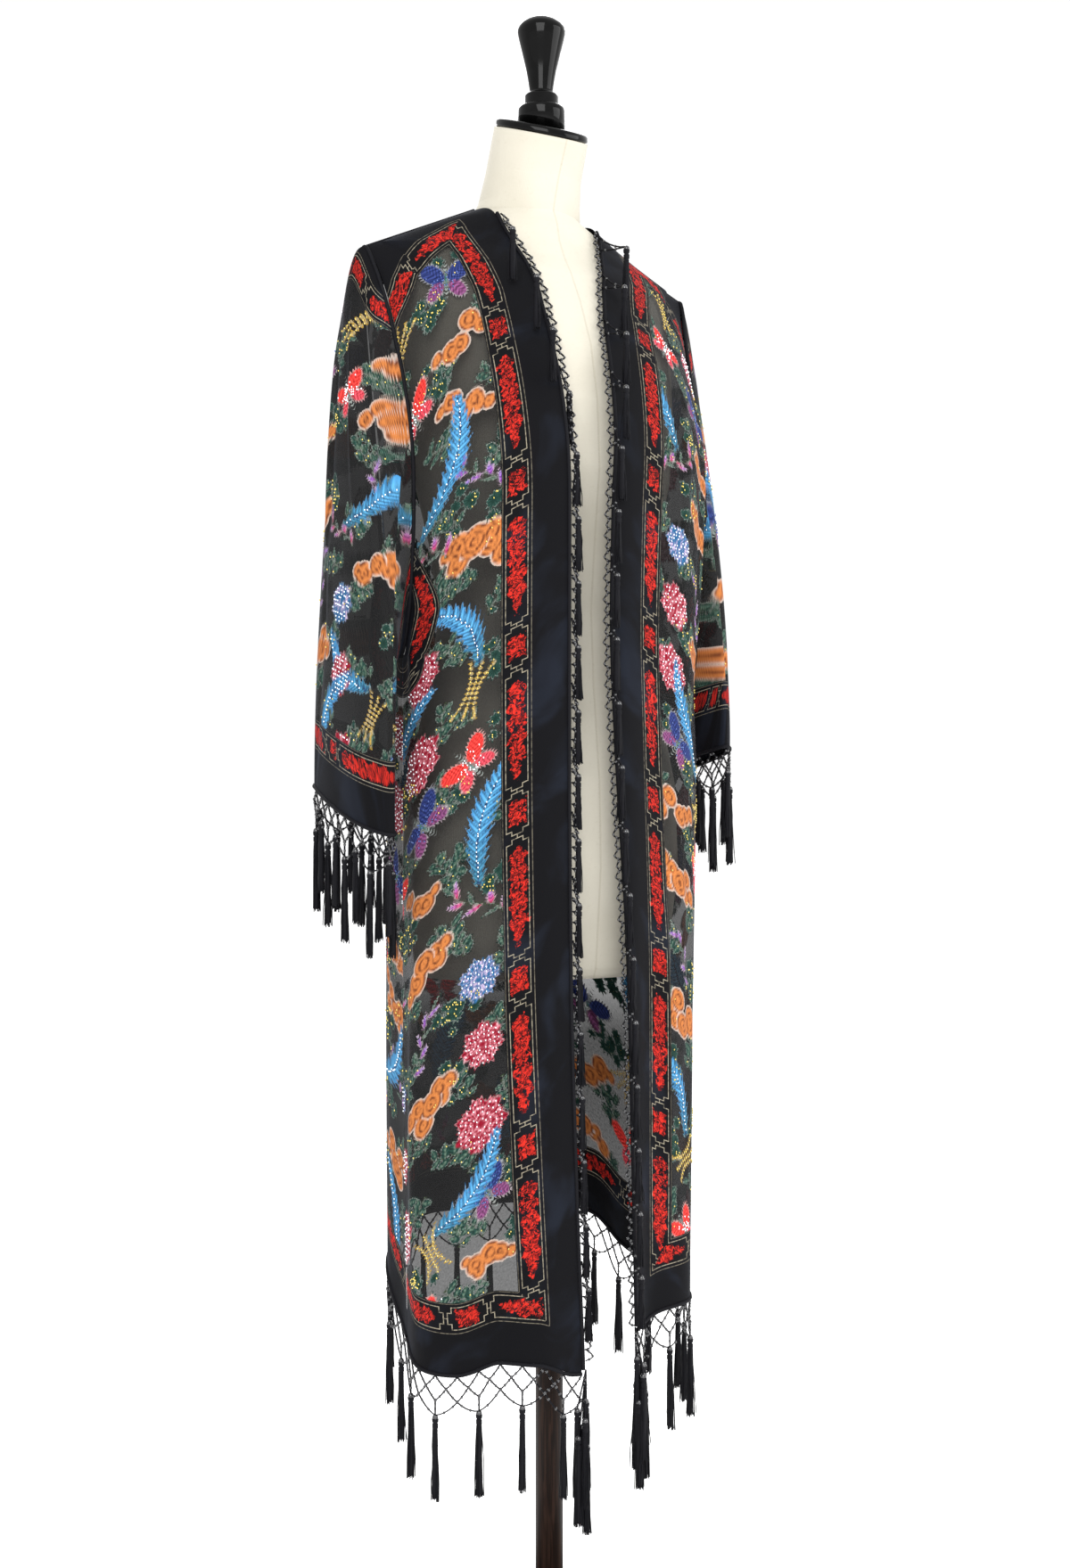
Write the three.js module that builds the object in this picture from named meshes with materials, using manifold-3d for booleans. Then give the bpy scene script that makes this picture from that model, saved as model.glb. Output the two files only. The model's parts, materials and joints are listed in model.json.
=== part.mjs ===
// A fringed kimono jacket hung open on a limbless dress form with a turned stand.
// Millimetres, +Z up. The garment faces -Y and the wearer's right hand side is -X.

import * as THREE from 'three';
import { mergeVertices } from 'three/addons/utils/BufferGeometryUtils.js';
import Module from 'manifold-3d';

const wasm = await Module();
wasm.setup();

// Cloth
const CLOTH_THICKNESS = 2;
const SEAM_GAP = 0.3;
const NECK_POINT = { x: 66.5, y: 48, z: 1563.5 };
const SHOULDER_TIP = { x: 205, y: 40, z: 1500 };
const SHOULDER_SLOPE = (NECK_POINT.z - SHOULDER_TIP.z) / (SHOULDER_TIP.x - NECK_POINT.x);
const UNDERARM_Z = 1070;
const ARMHOLE_DROP = SHOULDER_TIP.z - UNDERARM_Z;
const LOWER_DROP = 730;
const SIDE_Y = 12;
const ARMHOLE_HALF_OPENING = 38;
const FORM_CLEARANCE = 2.8;
const PLAN_POWER = 2.2;

// Trim
const STRIP_HEIGHT = 4;
const NET_PITCH = 44;
const NET_KNOT_DROP = 17;
const NET_DEPTH = 40;
const STRAND_RADIUS = 1.1;
const SMALLEST_EDGE = 0.25;
const TASSEL_LENGTH = 90;
const EDGE_TASSEL_PITCH = 66;
const EDGE_TASSEL_LENGTH = 56;
const TASSEL_CLEARANCE = 8.6;

// Stand
const BASE = { radius: 160, height: 18 };
const SOCKET = { radius: 30, top: 62 };
const POLE_RADIUS = 15;
const TORSO_BOTTOM_Z = 733.5;
const NECK_TILT = 0.36;
const NECK_CAP = { y: 16.5, z: 1648.3, radius: 51, height: 9 };

// Half widths and depths of the dress form's level sections
const FORM = [
  { z: 733.5, half: 140, centre: 14, front: -84, back: 106, power: 2.2, tilt: 0 },
  { z: 744, half: 147, centre: 14, front: -89, back: 112, power: 2.2, tilt: 0 },
  { z: 850, half: 160, centre: 14, front: -98, back: 124, power: 2.2, tilt: 0 },
  { z: 940, half: 156, centre: 14, front: -96, back: 120, power: 2.2, tilt: 0 },
  { z: 1040, half: 132, centre: 12, front: -85, back: 105, power: 2.2, tilt: 0 },
  { z: 1120, half: 119, centre: 12, front: -80, back: 98, power: 2.2, tilt: 0 },
  { z: 1195, half: 129, centre: 14, front: -87, back: 106, power: 2.2, tilt: 0 },
  { z: 1270, half: 146, centre: 16, front: -96, back: 116, power: 2.3, tilt: 0 },
  { z: 1340, half: 156, centre: 22, front: -92, back: 121, power: 2.3, tilt: 0 },
  { z: 1400, half: 163, centre: 30, front: -80, back: 121, power: 2.2, tilt: 0 },
  { z: 1450, half: 172, centre: 38, front: -60, back: 117, power: 2, tilt: 0 },
  { z: 1485, half: 182, centre: 41, front: -42, back: 112, power: 1.7, tilt: 0 },
  { z: 1505, half: 187, centre: 41, front: -29, back: 102, power: 1.4, tilt: 0 },
  { z: 1524.6, half: 146.3, centre: 43.3, front: -20, back: 99, power: 1.42, tilt: 0 },
  { z: 1545, half: 102.7, centre: 45.8, front: -15, back: 97, power: 1.55, tilt: 0 },
  { z: 1560.4, half: 66, centre: 47, front: -8, back: 90, power: 1.7, tilt: 0 },
  { z: 1575, half: 58, centre: 42, front: -12, back: 91, power: 2, tilt: 0 },
  { z: 1605, half: 53, centre: 32, front: -19, back: 83, power: 2, tilt: 0.18 },
  { z: 1648, half: 51, centre: 16.5, front: -34.5, back: 67.5, power: 2, tilt: 0.36 },
];

// Drops below the shoulder line of the rows above the underarm
const UPPER_ROWS = [0, 5, 14, 30, 54, 88, 130, 180, 240, 310, 375, 430];
// Parts of the way from underarm to hem of the rows below it
const LOWER_ROWS = [0.13, 0.27, 0.41, 0.55, 0.68, 0.8, 0.91, 1];

// Half width of the body at the armhole and below, and depth of the back behind the side line
const BODY = [
  { drop: 0, right: 205, left: 205, back: 0 },
  { drop: 30, right: 197, left: 197, back: 52 },
  { drop: 88, right: 190, left: 190, back: 84 },
  { drop: 180, right: 184, left: 184, back: 106 },
  { drop: 310, right: 179, left: 178, back: 120 },
  { drop: 430, right: 176, left: 173, back: 124 },
  { drop: 800, right: 177, left: 171, back: 127 },
  { drop: 1160, right: 173, left: 163, back: 131 },
];

// Where the front edges lie from the middle, right and left, at each height
const FRONT_EDGE = [
  { z: 340, right: 38, left: 26 },
  { z: 540, right: 47, left: 21 },
  { z: 740, right: 53, left: 16 },
  { z: 980, right: 55, left: 2 },
  { z: 1100, right: 55, left: -3 },
  { z: 1230, right: 55, left: 0 },
  { z: 1320, right: 57, left: 7 },
  { z: 1390, right: 56, left: 17 },
  { z: 1456, right: 53, left: 33 },
  { z: 1515, right: 60.5, left: 57 },
  { z: 1540, right: 65.5, left: 64 },
  { z: 1563.5, right: 66.5, left: 66.5 },
];

// Heights of the hem by the angle in plan from the front, right and left
const HEM = [
  { turn: 0, right: 331, left: 370 },
  { turn: 20, right: 334, left: 374 },
  { turn: 35, right: 348, left: 382 },
  { turn: 50, right: 349, left: 385 },
  { turn: 65, right: 336, left: 388 },
  { turn: 78, right: 340, left: 390 },
  { turn: 90, right: 362, left: 394 },
  { turn: 100, right: 386, left: 402 },
  { turn: 112, right: 425, left: 416 },
  { turn: 126, right: 448, left: 444 },
  { turn: 145, right: 458, left: 459 },
  { turn: 180, right: 462, left: 462 },
];

// Growth of the folds with the drop below the shoulder line
const FOLD = [
  { drop: 0, depth: 0 },
  { drop: 110, depth: 0 },
  { drop: 250, depth: 2 },
  { drop: 430, depth: 3.2 },
  { drop: 700, depth: 5.5 },
  { drop: 1000, depth: 8.5 },
  { drop: 1160, depth: 10 },
];

// Ends of the flattened cuffs, and how full each sleeve is at its head
const CUFF = {
  right: { x: 223, y: 31, halfLength: 79, halfWidth: 19, frontZ: 887, backZ: 940, cap: 30, fall: 0.62 },
  left: { x: 213, y: 31, halfLength: 76, halfWidth: 19, frontZ: 985, backZ: 950, cap: 12, fall: 0.42 },
};
const SLEEVE_AROUND = [0, 0.05, 0.13, 0.25, 0.38, 0.5, 0.62, 0.75, 0.87, 0.95];
const SLEEVE_ALONG = [0, 0.06, 0.13, 0.22, 0.32, 0.43, 0.54, 0.65, 0.76, 0.88, 1];

// Radii down a tassel, with their share of its length
const TASSEL = [
  { at: 0, radius: 1.2 },
  { at: 0.035, radius: 3.6 },
  { at: 0.16, radius: 3.2 },
  { at: 0.32, radius: 4.2 },
  { at: 1, radius: 4.8 },
];

// Value of a table's column at a key, on a smooth curve through its rows
function read(table, key, at, column) {
  const last = table.length - 1;
  if (at <= table[0][key]) return table[0][column];
  if (at >= table[last][key]) return table[last][column];
  let i = 0;
  while (table[i + 1][key] < at) i += 1;
  const slope = (a, b) => (table[b][column] - table[a][column]) / (table[b][key] - table[a][key]);
  const own = slope(i, i + 1);
  const width = table[i + 1][key] - table[i][key];
  const start = i > 0 ? gentle(slope(i - 1, i), own) : own;
  const end = i + 1 < last ? gentle(own, slope(i + 1, i + 2)) : own;
  const t = (at - table[i][key]) / width;
  const s = 1 - t;
  return (
    table[i][column] * s * s * (1 + 2 * t) + start * width * t * s * s +
    table[i + 1][column] * t * t * (3 - 2 * t) - end * width * t * t * s
  );
}

// Slope at a table's row that never overshoots its neighbours
function gentle(a, b) {
  return a * b <= 0 ? 0 : (2 * a * b) / (a + b);
}

function smooth(t) {
  const c = Math.min(1, Math.max(0, t));
  return c * c * (3 - 2 * c);
}

const mix = (a, b, t) => a + (b - a) * t;
const vec = (x, y, z) => new THREE.Vector3(x, y, z);

// Half depth of a superellipse at x
function arc(x, half, power) {
  const part = Math.abs(x) / half;
  return part >= 1 ? 0 : (1 - part ** power) ** (1 / power);
}

function straight(table, key, at, column) {
  let i = 0;
  while (i < table.length - 2 && table[i + 1][key] < at) i += 1;
  const t = (at - table[i][key]) / (table[i + 1][key] - table[i][key]);
  return mix(table[i][column], table[i + 1][column], t);
}

// Front or back of the dress form at x and z, or null beside it
function formFace(x, z, side) {
  if (z > 1600 || z < TORSO_BOTTOM_Z) return null;
  const half = straight(FORM, 'z', z, 'half');
  if (Math.abs(x) >= half) return null;
  const centre = straight(FORM, 'z', z, 'centre');
  const face = straight(FORM, 'z', z, side);
  return centre + (face - centre) * arc(x, half, straight(FORM, 'z', z, 'power'));
}

const shoulderZ = (x) => NECK_POINT.z - Math.max(0, Math.abs(x) - NECK_POINT.x) * SHOULDER_SLOPE;

function shoulderY(x) {
  const t = (Math.abs(x) - NECK_POINT.x) / (SHOULDER_TIP.x - NECK_POINT.x);
  return mix(NECK_POINT.y, SHOULDER_TIP.y, Math.max(0, t));
}

const frontDepth = (drop) => 134 * Math.sin((Math.PI / 2) * Math.min(1, drop / 270)) ** 0.62;

// Half opening of the armhole at a drop below the shoulder tip
function opening(drop) {
  if (drop <= 0 || drop >= ARMHOLE_DROP) return 0;
  return ARMHOLE_HALF_OPENING * Math.sin((Math.PI * drop) / ARMHOLE_DROP) ** 0.6;
}

// Soft vertical folds, by the angle in plan
function fold(turn, drop) {
  const wave = 0.62 * Math.sin(9 * turn + 0.6) + 0.38 * Math.sin(5 * turn + 2.1);
  return read(FOLD, 'drop', drop, 'depth') * wave;
}

// Level plan curve of one panel at a drop: half width of its curve, depth and end angle
function plan(name, face, drop) {
  const half = read(BODY, 'drop', drop, name);
  const depth = face === 'front' ? frontDepth(drop) : read(BODY, 'drop', drop, 'back');
  const gap = opening(drop);
  const share = depth > 0 ? Math.min(0.7, gap / depth) : 0;
  const wide = half / (1 - share ** PLAN_POWER) ** (1 / PLAN_POWER);
  return { half, wide, depth, end: Math.asin(Math.min(1, (half / wide) ** (PLAN_POWER / 2))) };
}

// Middle of the cloth at x and a row, where row is a drop, then 430 plus the lower part
function bodyPoint(name, face, x, drop, lower) {
  const sign = name === 'right' ? -1 : 1;
  const full = lower > 0 ? ARMHOLE_DROP + lower * LOWER_DROP : drop;
  const { wide, depth } = plan(name, face, full);
  const out = face === 'front' ? -1 : 1;
  const settle = smooth(full / 250);
  const side = mix(shoulderY(x), SIDE_Y, settle);
  const y = side + out * depth * arc(x, wide, PLAN_POWER);
  const level = 1 - smooth(full / ARMHOLE_DROP);
  let z = SHOULDER_TIP.z - Math.min(full, ARMHOLE_DROP) + (shoulderZ(x) - SHOULDER_TIP.z) * level;
  const turn = Math.atan2(Math.abs(x), -(y - SIDE_Y));
  if (lower > 0) {
    z = mix(UNDERARM_Z, read(HEM, 'turn', THREE.MathUtils.radToDeg(turn), name), lower);
  }
  const wave = fold(sign * turn, full);
  const plain = vec(sign * (x + wave * Math.sin(turn)), y - wave * Math.cos(turn), z);
  const seated = full === 0 && Math.abs(x) > NECK_POINT.x - 0.1;
  const form = seated ? null : formFace(plain.x, z - (full > 0 ? FORM_CLEARANCE : 0), face);
  const clear = FORM_CLEARANCE + 1.6 * smooth((z - 1540) / 20);
  if (form !== null && out * plain.y < out * form + clear) plain.y = form + out * clear;
  plain.y += (out * SEAM_GAP) / 2;
  return plain;
}

const BODY_ROWS = [
  ...UPPER_ROWS.map((drop) => ({ drop, lower: 0 })),
  ...LOWER_ROWS.map((lower) => ({ drop: ARMHOLE_DROP, lower })),
];

// Rows of one front, from its front edge to the armhole and side
function frontGrid(name, columns) {
  return BODY_ROWS.map(({ drop, lower }) => {
    const full = lower > 0 ? ARMHOLE_DROP + lower * LOWER_DROP : drop;
    const { wide, end } = plan(name, 'front', full);
    const hem = read(HEM, 'turn', 18, name);
    const z = lower > 0
      ? mix(UNDERARM_Z, hem, lower)
      : SHOULDER_TIP.z - drop + (NECK_POINT.z - SHOULDER_TIP.z) * (1 - smooth(drop / ARMHOLE_DROP));
    const edge = read(FRONT_EDGE, 'z', z, name);
    const from = Math.sign(edge) * Math.asin((Math.abs(edge) / wide) ** (PLAN_POWER / 2));
    return Array.from({ length: columns }, (_, i) => {
      const angle = mix(from, end, i / (columns - 1));
      const x = Math.sign(angle) * wide * Math.sin(Math.abs(angle)) ** (2 / PLAN_POWER);
      return i === columns - 1 && lower === 0 ? bodyPoint(name, 'front', plan(name, 'front', full).half, drop, 0)
        : bodyPoint(name, 'front', x, drop, lower);
    });
  });
}

// Shares of the shoulder line at which the back's columns start
const BACK_TOP = [0, 17, 34, 50, 61, 66.5, 84, 106, 130, 154, 176, 193, 205];

function backGrid() {
  const half = (name, row) => BACK_TOP.map((top, i) => {
    const { drop, lower } = row;
    const full = lower > 0 ? ARMHOLE_DROP + lower * LOWER_DROP : drop;
    const { wide, end, half: edge } = plan(name, 'back', full);
    const angle = (end * i) / (BACK_TOP.length - 1);
    const round = i === BACK_TOP.length - 1 ? edge : wide * Math.sin(angle) ** (2 / PLAN_POWER);
    return bodyPoint(name, 'back', mix((top * edge) / SHOULDER_TIP.x, round, smooth(full / 220)), drop, lower);
  });
  return BODY_ROWS.map((row) => {
    const right = half('right', row);
    const left = half('left', row);
    return [...right.reverse(), ...left.slice(1)];
  });
}

// Root loop of a sleeve, just outside the armhole's edge, at a share of the way round
function rootPoint(name, share) {
  const down = share <= 0.5 ? share * 2 : 2 - share * 2;
  const drop = ARMHOLE_DROP * (0.5 - 0.5 * Math.cos(Math.PI * down));
  const sign = name === 'right' ? -1 : 1;
  const half = read(BODY, 'drop', drop, name);
  const lap = mix(0.8, 3.1, smooth(drop / 22));
  const side = mix(SHOULDER_TIP.y, SIDE_Y, smooth(drop / 250));
  const towards = share < 0.5 ? -1 : 1;
  const y = side + towards * (opening(drop) + (drop > 0 && drop < ARMHOLE_DROP ? 1.5 : 0));
  return vec(sign * (half + lap), y, SHOULDER_TIP.z - drop - (down === 1 ? 1 : 0));
}

// Edge loop of a cuff, flattened front to back
function cuffPoint(name, share) {
  const { x, y, halfLength, halfWidth, frontZ, backZ } = CUFF[name];
  const angle = share * 2 * Math.PI;
  const sign = name === 'right' ? -1 : 1;
  const round = (value) => Math.sign(value) * Math.abs(value) ** 0.85;
  const along = -round(Math.sin(angle));
  const across = round(Math.cos(angle)) * halfWidth + 2.2 * Math.sin(3 * angle + 0.5);
  return vec(sign * (x + across), y + along * halfLength, mix(frontZ, backZ, (along + 1) / 2));
}

function sleeveGrid(name) {
  const sign = name === 'right' ? -1 : 1;
  const shares = [...SLEEVE_AROUND.map((s) => s / 2), ...SLEEVE_AROUND.map((s) => 0.5 + s / 2)];
  return SLEEVE_ALONG.map((t) => shares.map((share) => {
    const root = rootPoint(name, share);
    const cuff = cuffPoint(name, share);
    const high = 0.5 + 0.5 * Math.cos(share * 2 * Math.PI);
    const lead = root.clone().add(vec(sign * mix(9, CUFF[name].cap, high), 0, mix(-6, 4, high)));
    const fall = cuff.clone().add(vec(0, 0, CUFF[name].fall * (root.z - cuff.z)));
    const curve = new THREE.CubicBezierCurve3(root, lead, fall, cuff);
    return curve.getPoint(t);
  }));
}

// Direction across the cloth at each point of a grid
function across(grid, closed) {
  return grid.map((row, i) => row.map((_, j) => {
    const count = row.length;
    const before = closed ? (j + count - 1) % count : Math.max(0, j - 1);
    const after = closed ? (j + 1) % count : Math.min(count - 1, j + 1);
    const over = row[after].clone().sub(row[before]);
    const down = grid[Math.min(grid.length - 1, i + 1)][j].clone().sub(grid[Math.max(0, i - 1)][j]);
    return over.cross(down).normalize();
  }));
}

// Closed wall of the cloth's thickness on a grid of middle points
function wall(grid, normals, closed) {
  const rows = grid.length;
  const count = grid[0].length;
  const positions = [];
  for (const side of [0.5, -0.5]) {
    grid.forEach((row, i) => row.forEach((point, j) => {
      const at = point.clone().addScaledVector(normals[i][j], side * CLOTH_THICKNESS);
      positions.push(at.x, at.y, at.z);
    }));
  }
  const index = [];
  const at = (layer, i, j) => layer * rows * count + i * count + (j % count);
  const quad = (a, b, c, d) => index.push(a, b, c, a, c, d);
  const spans = closed ? count : count - 1;
  for (let i = 0; i < rows - 1; i += 1) {
    for (let j = 0; j < spans; j += 1) {
      quad(at(0, i, j), at(0, i, j + 1), at(0, i + 1, j + 1), at(0, i + 1, j));
      quad(at(1, i, j), at(1, i + 1, j), at(1, i + 1, j + 1), at(1, i, j + 1));
    }
  }
  for (let j = 0; j < spans; j += 1) {
    quad(at(0, 0, j), at(1, 0, j), at(1, 0, j + 1), at(0, 0, j + 1));
    quad(at(0, rows - 1, j), at(0, rows - 1, j + 1), at(1, rows - 1, j + 1), at(1, rows - 1, j));
  }
  if (!closed) {
    for (let i = 0; i < rows - 1; i += 1) {
      quad(at(0, i, 0), at(0, i + 1, 0), at(1, i + 1, 0), at(1, i, 0));
      quad(at(0, i, count - 1), at(1, i, count - 1), at(1, i + 1, count - 1), at(0, i + 1, count - 1));
    }
  }
  return faced(positions, index);
}

// Geometry with its faces turned outward
function faced(positions, index) {
  const point = (i) => vec(positions[3 * i], positions[3 * i + 1], positions[3 * i + 2]);
  let volume = 0;
  for (let i = 0; i < index.length; i += 3) {
    volume += point(index[i]).dot(point(index[i + 1]).cross(point(index[i + 2])));
  }
  if (volume < 0) index.reverse();
  const geometry = new THREE.BufferGeometry();
  geometry.setAttribute('position', new THREE.Float32BufferAttribute(positions, 3));
  geometry.setIndex(index);
  return geometry;
}

// Solid through closed rings, with a flat cap at each end
function loft(rings) {
  const count = rings[0].length;
  const positions = rings.flat().flatMap((p) => [p.x, p.y, p.z]);
  const index = [];
  for (let i = 0; i < rings.length - 1; i += 1) {
    for (let j = 0; j < count; j += 1) {
      const a = i * count + j;
      const b = i * count + ((j + 1) % count);
      index.push(a, b, b + count, a, b + count, a + count);
    }
  }
  for (let j = 1; j < count - 1; j += 1) {
    index.push(0, j + 1, j);
    const top = (rings.length - 1) * count;
    index.push(top, top + j, top + j + 1);
  }
  return faced(positions, index);
}

// Turned solid: radius and height pairs, with a tilt of each ring about X
function turned(profile, segments, centreY) {
  return loft(profile.map(([radius, z, tilt = 0]) => Array.from({ length: segments }, (_, i) => {
    const angle = (i / segments) * 2 * Math.PI;
    const y = radius * Math.sin(angle);
    return vec(radius * Math.cos(angle), centreY + y, z + y * tilt);
  })));
}

function torsoRings(segments) {
  return FORM.map(({ z, half, centre, front, back, power, tilt }) => (
    Array.from({ length: segments }, (_, i) => {
      const angle = (i / segments) * 2 * Math.PI;
      const c = Math.cos(angle);
      const s = Math.sin(angle);
      const x = Math.sign(c) * half * Math.abs(c) ** (2 / power);
      const depth = s < 0 ? centre - front : back - centre;
      const y = Math.abs(s) < 1e-9 ? 0 : Math.sign(s) * depth * Math.abs(s) ** (2 / power);
      return vec(x, centre + y, z + (centre + y - (front + back) / 2) * tilt);
    })
  ));
}

function toManifold(geometry) {
  const plain = new THREE.BufferGeometry();
  plain.setAttribute('position', geometry.getAttribute('position'));
  plain.setIndex(geometry.getIndex());
  const merged = mergeVertices(plain, 1e-5);
  return new wasm.Manifold(new wasm.Mesh({
    numProp: 3,
    vertProperties: new Float32Array(merged.getAttribute('position').array),
    triVerts: new Uint32Array(merged.getIndex().array),
  }));
}

function fromManifold(solid) {
  const { vertProperties, triVerts } = solid.getMesh();
  const geometry = new THREE.BufferGeometry();
  geometry.setAttribute('position', new THREE.Float32BufferAttribute(vertProperties, 3));
  geometry.setIndex(Array.from(triVerts));
  return geometry;
}

// Solid along a path, with level rings of three or four sides
function lock(points, radii, sides) {
  return loft(points.map((point, i) => Array.from({ length: sides }, (_, k) => {
    const angle = ((k + 0.5) / sides) * 2 * Math.PI;
    return vec(point.x + radii[i] * Math.cos(angle), point.y + radii[i] * Math.sin(angle), point.z);
  })));
}

// Tassel hanging from a point, from its own root when it has one
function tassel(top, length, sides, path = () => [0, 0], root = []) {
  const points = TASSEL.map(({ at }) => {
    const z = top.z - at * length;
    const [x, y] = path(z);
    return vec(top.x + x, top.y + y, z);
  });
  return lock([...root, ...points], [...root.map(() => TASSEL[0].radius), ...TASSEL.map(({ radius }) => radius)], sides);
}

const joined = (parts) => fromManifold(wasm.Manifold.union(parts.map(toManifold)).simplify(SMALLEST_EDGE));

// Point on a line of points at a length along it
function along(points, length) {
  let left = length;
  for (let i = 0; i < points.length - 1; i += 1) {
    const step = points[i].distanceTo(points[i + 1]);
    if (left <= step || i === points.length - 2) return points[i].clone().lerp(points[i + 1], left / step);
    left -= step;
  }
  return points[points.length - 1].clone();
}

const lengthOf = (points) => points.slice(1).reduce((sum, p, i) => sum + p.distanceTo(points[i]), 0);

// Narrow strip beside the last row of a grid, parted from it by the seam gap
function edgeStrip(rowBefore, row, normals, height, closed = false, lift = () => vec(0, 0, 0)) {
  const count = row.length;
  const ways = row.map((p, i) => {
    const after = closed ? (i + 1) % count : Math.min(count - 1, i + 1);
    const before = closed ? (i + count - 1) % count : Math.max(0, i - 1);
    const line = row[after].clone().sub(row[before]).normalize();
    const way = p.clone().sub(rowBefore[i]).normalize().add(lift(p));
    return way.addScaledVector(line, -way.dot(line)).normalize();
  });
  const gap = SEAM_GAP * 1.5;
  const near = row.map((p, i) => p.clone().addScaledVector(ways[i], gap));
  const far = row.map((p, i) => p.clone().addScaledVector(ways[i], gap + height));
  return { near, far, normals };
}

// Closed plate of the cloth's thickness from flat polygons that share their corners
function plate(corners, polygons) {
  const positions = [];
  for (const side of [0.5, -0.5]) {
    for (const { point, normal } of corners) {
      const at = point.clone().addScaledVector(normal, side * CLOTH_THICKNESS);
      positions.push(at.x, at.y, at.z);
    }
  }
  const index = [];
  const edges = new Map();
  const under = corners.length;
  for (const polygon of polygons) {
    for (let k = 1; k < polygon.length - 1; k += 1) {
      index.push(polygon[0], polygon[k], polygon[k + 1]);
      index.push(under + polygon[0], under + polygon[k + 1], under + polygon[k]);
    }
    polygon.forEach((a, k) => {
      const b = polygon[(k + 1) % polygon.length];
      if (!edges.delete(`${b} ${a}`)) edges.set(`${a} ${b}`, [a, b]);
    });
  }
  for (const [a, b] of edges.values()) index.push(a, under + a, under + b, a, under + b, b);
  return faced(positions, index);
}

// Strip, net and tassels: roots on the strip, a knot between each two, a tassel under each root
function netFringe(strip, closed) {
  const wrap = (list) => (closed ? [...list, list[0]] : list);
  const [far, near, normals] = [wrap(strip.far), wrap(strip.near), wrap(strip.normals)];
  const marks = far.map((_, i) => lengthOf(far.slice(0, i + 1)));
  const total = marks[marks.length - 1];
  const count = Math.round(total / NET_PITCH);
  const pitch = total / count;
  const corners = [];
  const known = new Map();
  const corner = (length, depth) => {
    const at = closed ? ((length % total) + total) % total : Math.min(total, Math.max(0, length));
    const key = `${at.toFixed(3)} ${depth.toFixed(3)}`;
    if (known.has(key)) return known.get(key);
    let i = 0;
    while (i < marks.length - 2 && marks[i + 1] < at) i += 1;
    const t = (at - marks[i]) / (marks[i + 1] - marks[i]);
    const line = depth < 0 ? near : far;
    const point = line[i].clone().lerp(line[i + 1], t).add(vec(0, 0, -Math.max(0, depth)));
    corners.push({ point, normal: normals[i].clone().lerp(normals[i + 1], t).normalize() });
    known.set(key, corners.length - 1);
    return corners.length - 1;
  };
  const half = STRAND_RADIUS * 1.5;
  const roots = Array.from({ length: count }, (_, i) => (i + 0.5) * pitch);
  const held = roots.flatMap((root) => [root - half, root, root + half]);
  const free = marks.filter((mark, i) => i === 0 || (i === marks.length - 1 && !closed)
    || (mark < total && held.every((at) => Math.abs(at - mark) > 1.2)));
  const cuts = [...free, ...held];
  cuts.sort((a, b) => a - b);
  if (closed) cuts.push(total);
  const polygons = cuts.slice(1).map((cut, i) => (
    [corner(cuts[i], 0), corner(cut, 0), corner(cut, -1), corner(cuts[i], -1)]
  ));
  const knot = (length, depth) => ({
    top: corner(length, depth - half), right: corner(length + half, depth),
    bottom: corner(length, depth + half), left: corner(length - half, depth),
  });
  const tassels = [];
  roots.forEach((root, i) => {
    const low = knot(root, NET_DEPTH);
    polygons.push([low.left, low.bottom, low.right, low.top]);
    for (const side of [-1, 1]) {
      const open = !closed && (side < 0 ? i === 0 : i === count - 1);
      const at = root + (side * pitch) / 2 - (open ? side * half : 0);
      const mid = knot(at, NET_KNOT_DROP);
      const first = corner(root, 0);
      const second = corner(root + side * half, 0);
      const facing = side < 0 ? [mid.right, mid.top] : [mid.left, mid.top];
      const below = side < 0 ? [mid.right, mid.bottom] : [mid.left, mid.bottom];
      const lowest = side < 0 ? [low.top, low.left] : [low.top, low.right];
      const upper = [first, facing[0], facing[1], second];
      const lower = [below[0], lowest[0], lowest[1], below[1]];
      polygons.push(side < 0 ? upper.reverse() : upper);
      polygons.push(side < 0 ? lower.reverse() : lower);
      if (side > 0 || open) polygons.push([mid.left, mid.bottom, mid.right, mid.top]);
    }
    const foot = corners[low.top].point;
    tassels.push(tassel(vec(foot.x, foot.y, foot.z - 1), TASSEL_LENGTH, 4));
  });
  return joined([plate(corners, polygons), ...tassels]);
}

// Depth of a front's middle surface at x and z
function clothFace(name, x, z) {
  const own = name === 'right' ? -x : x;
  let [high, low] = [0, ARMHOLE_DROP + LOWER_DROP];
  let point;
  for (let step = 0; step < 16; step += 1) {
    const full = (high + low) / 2;
    const lower = Math.max(0, full - ARMHOLE_DROP) / LOWER_DROP;
    point = bodyPoint(name, 'front', own, Math.min(full, ARMHOLE_DROP), lower);
    if (point.z > z) high = full;
    else low = full;
  }
  return point.y;
}

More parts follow.
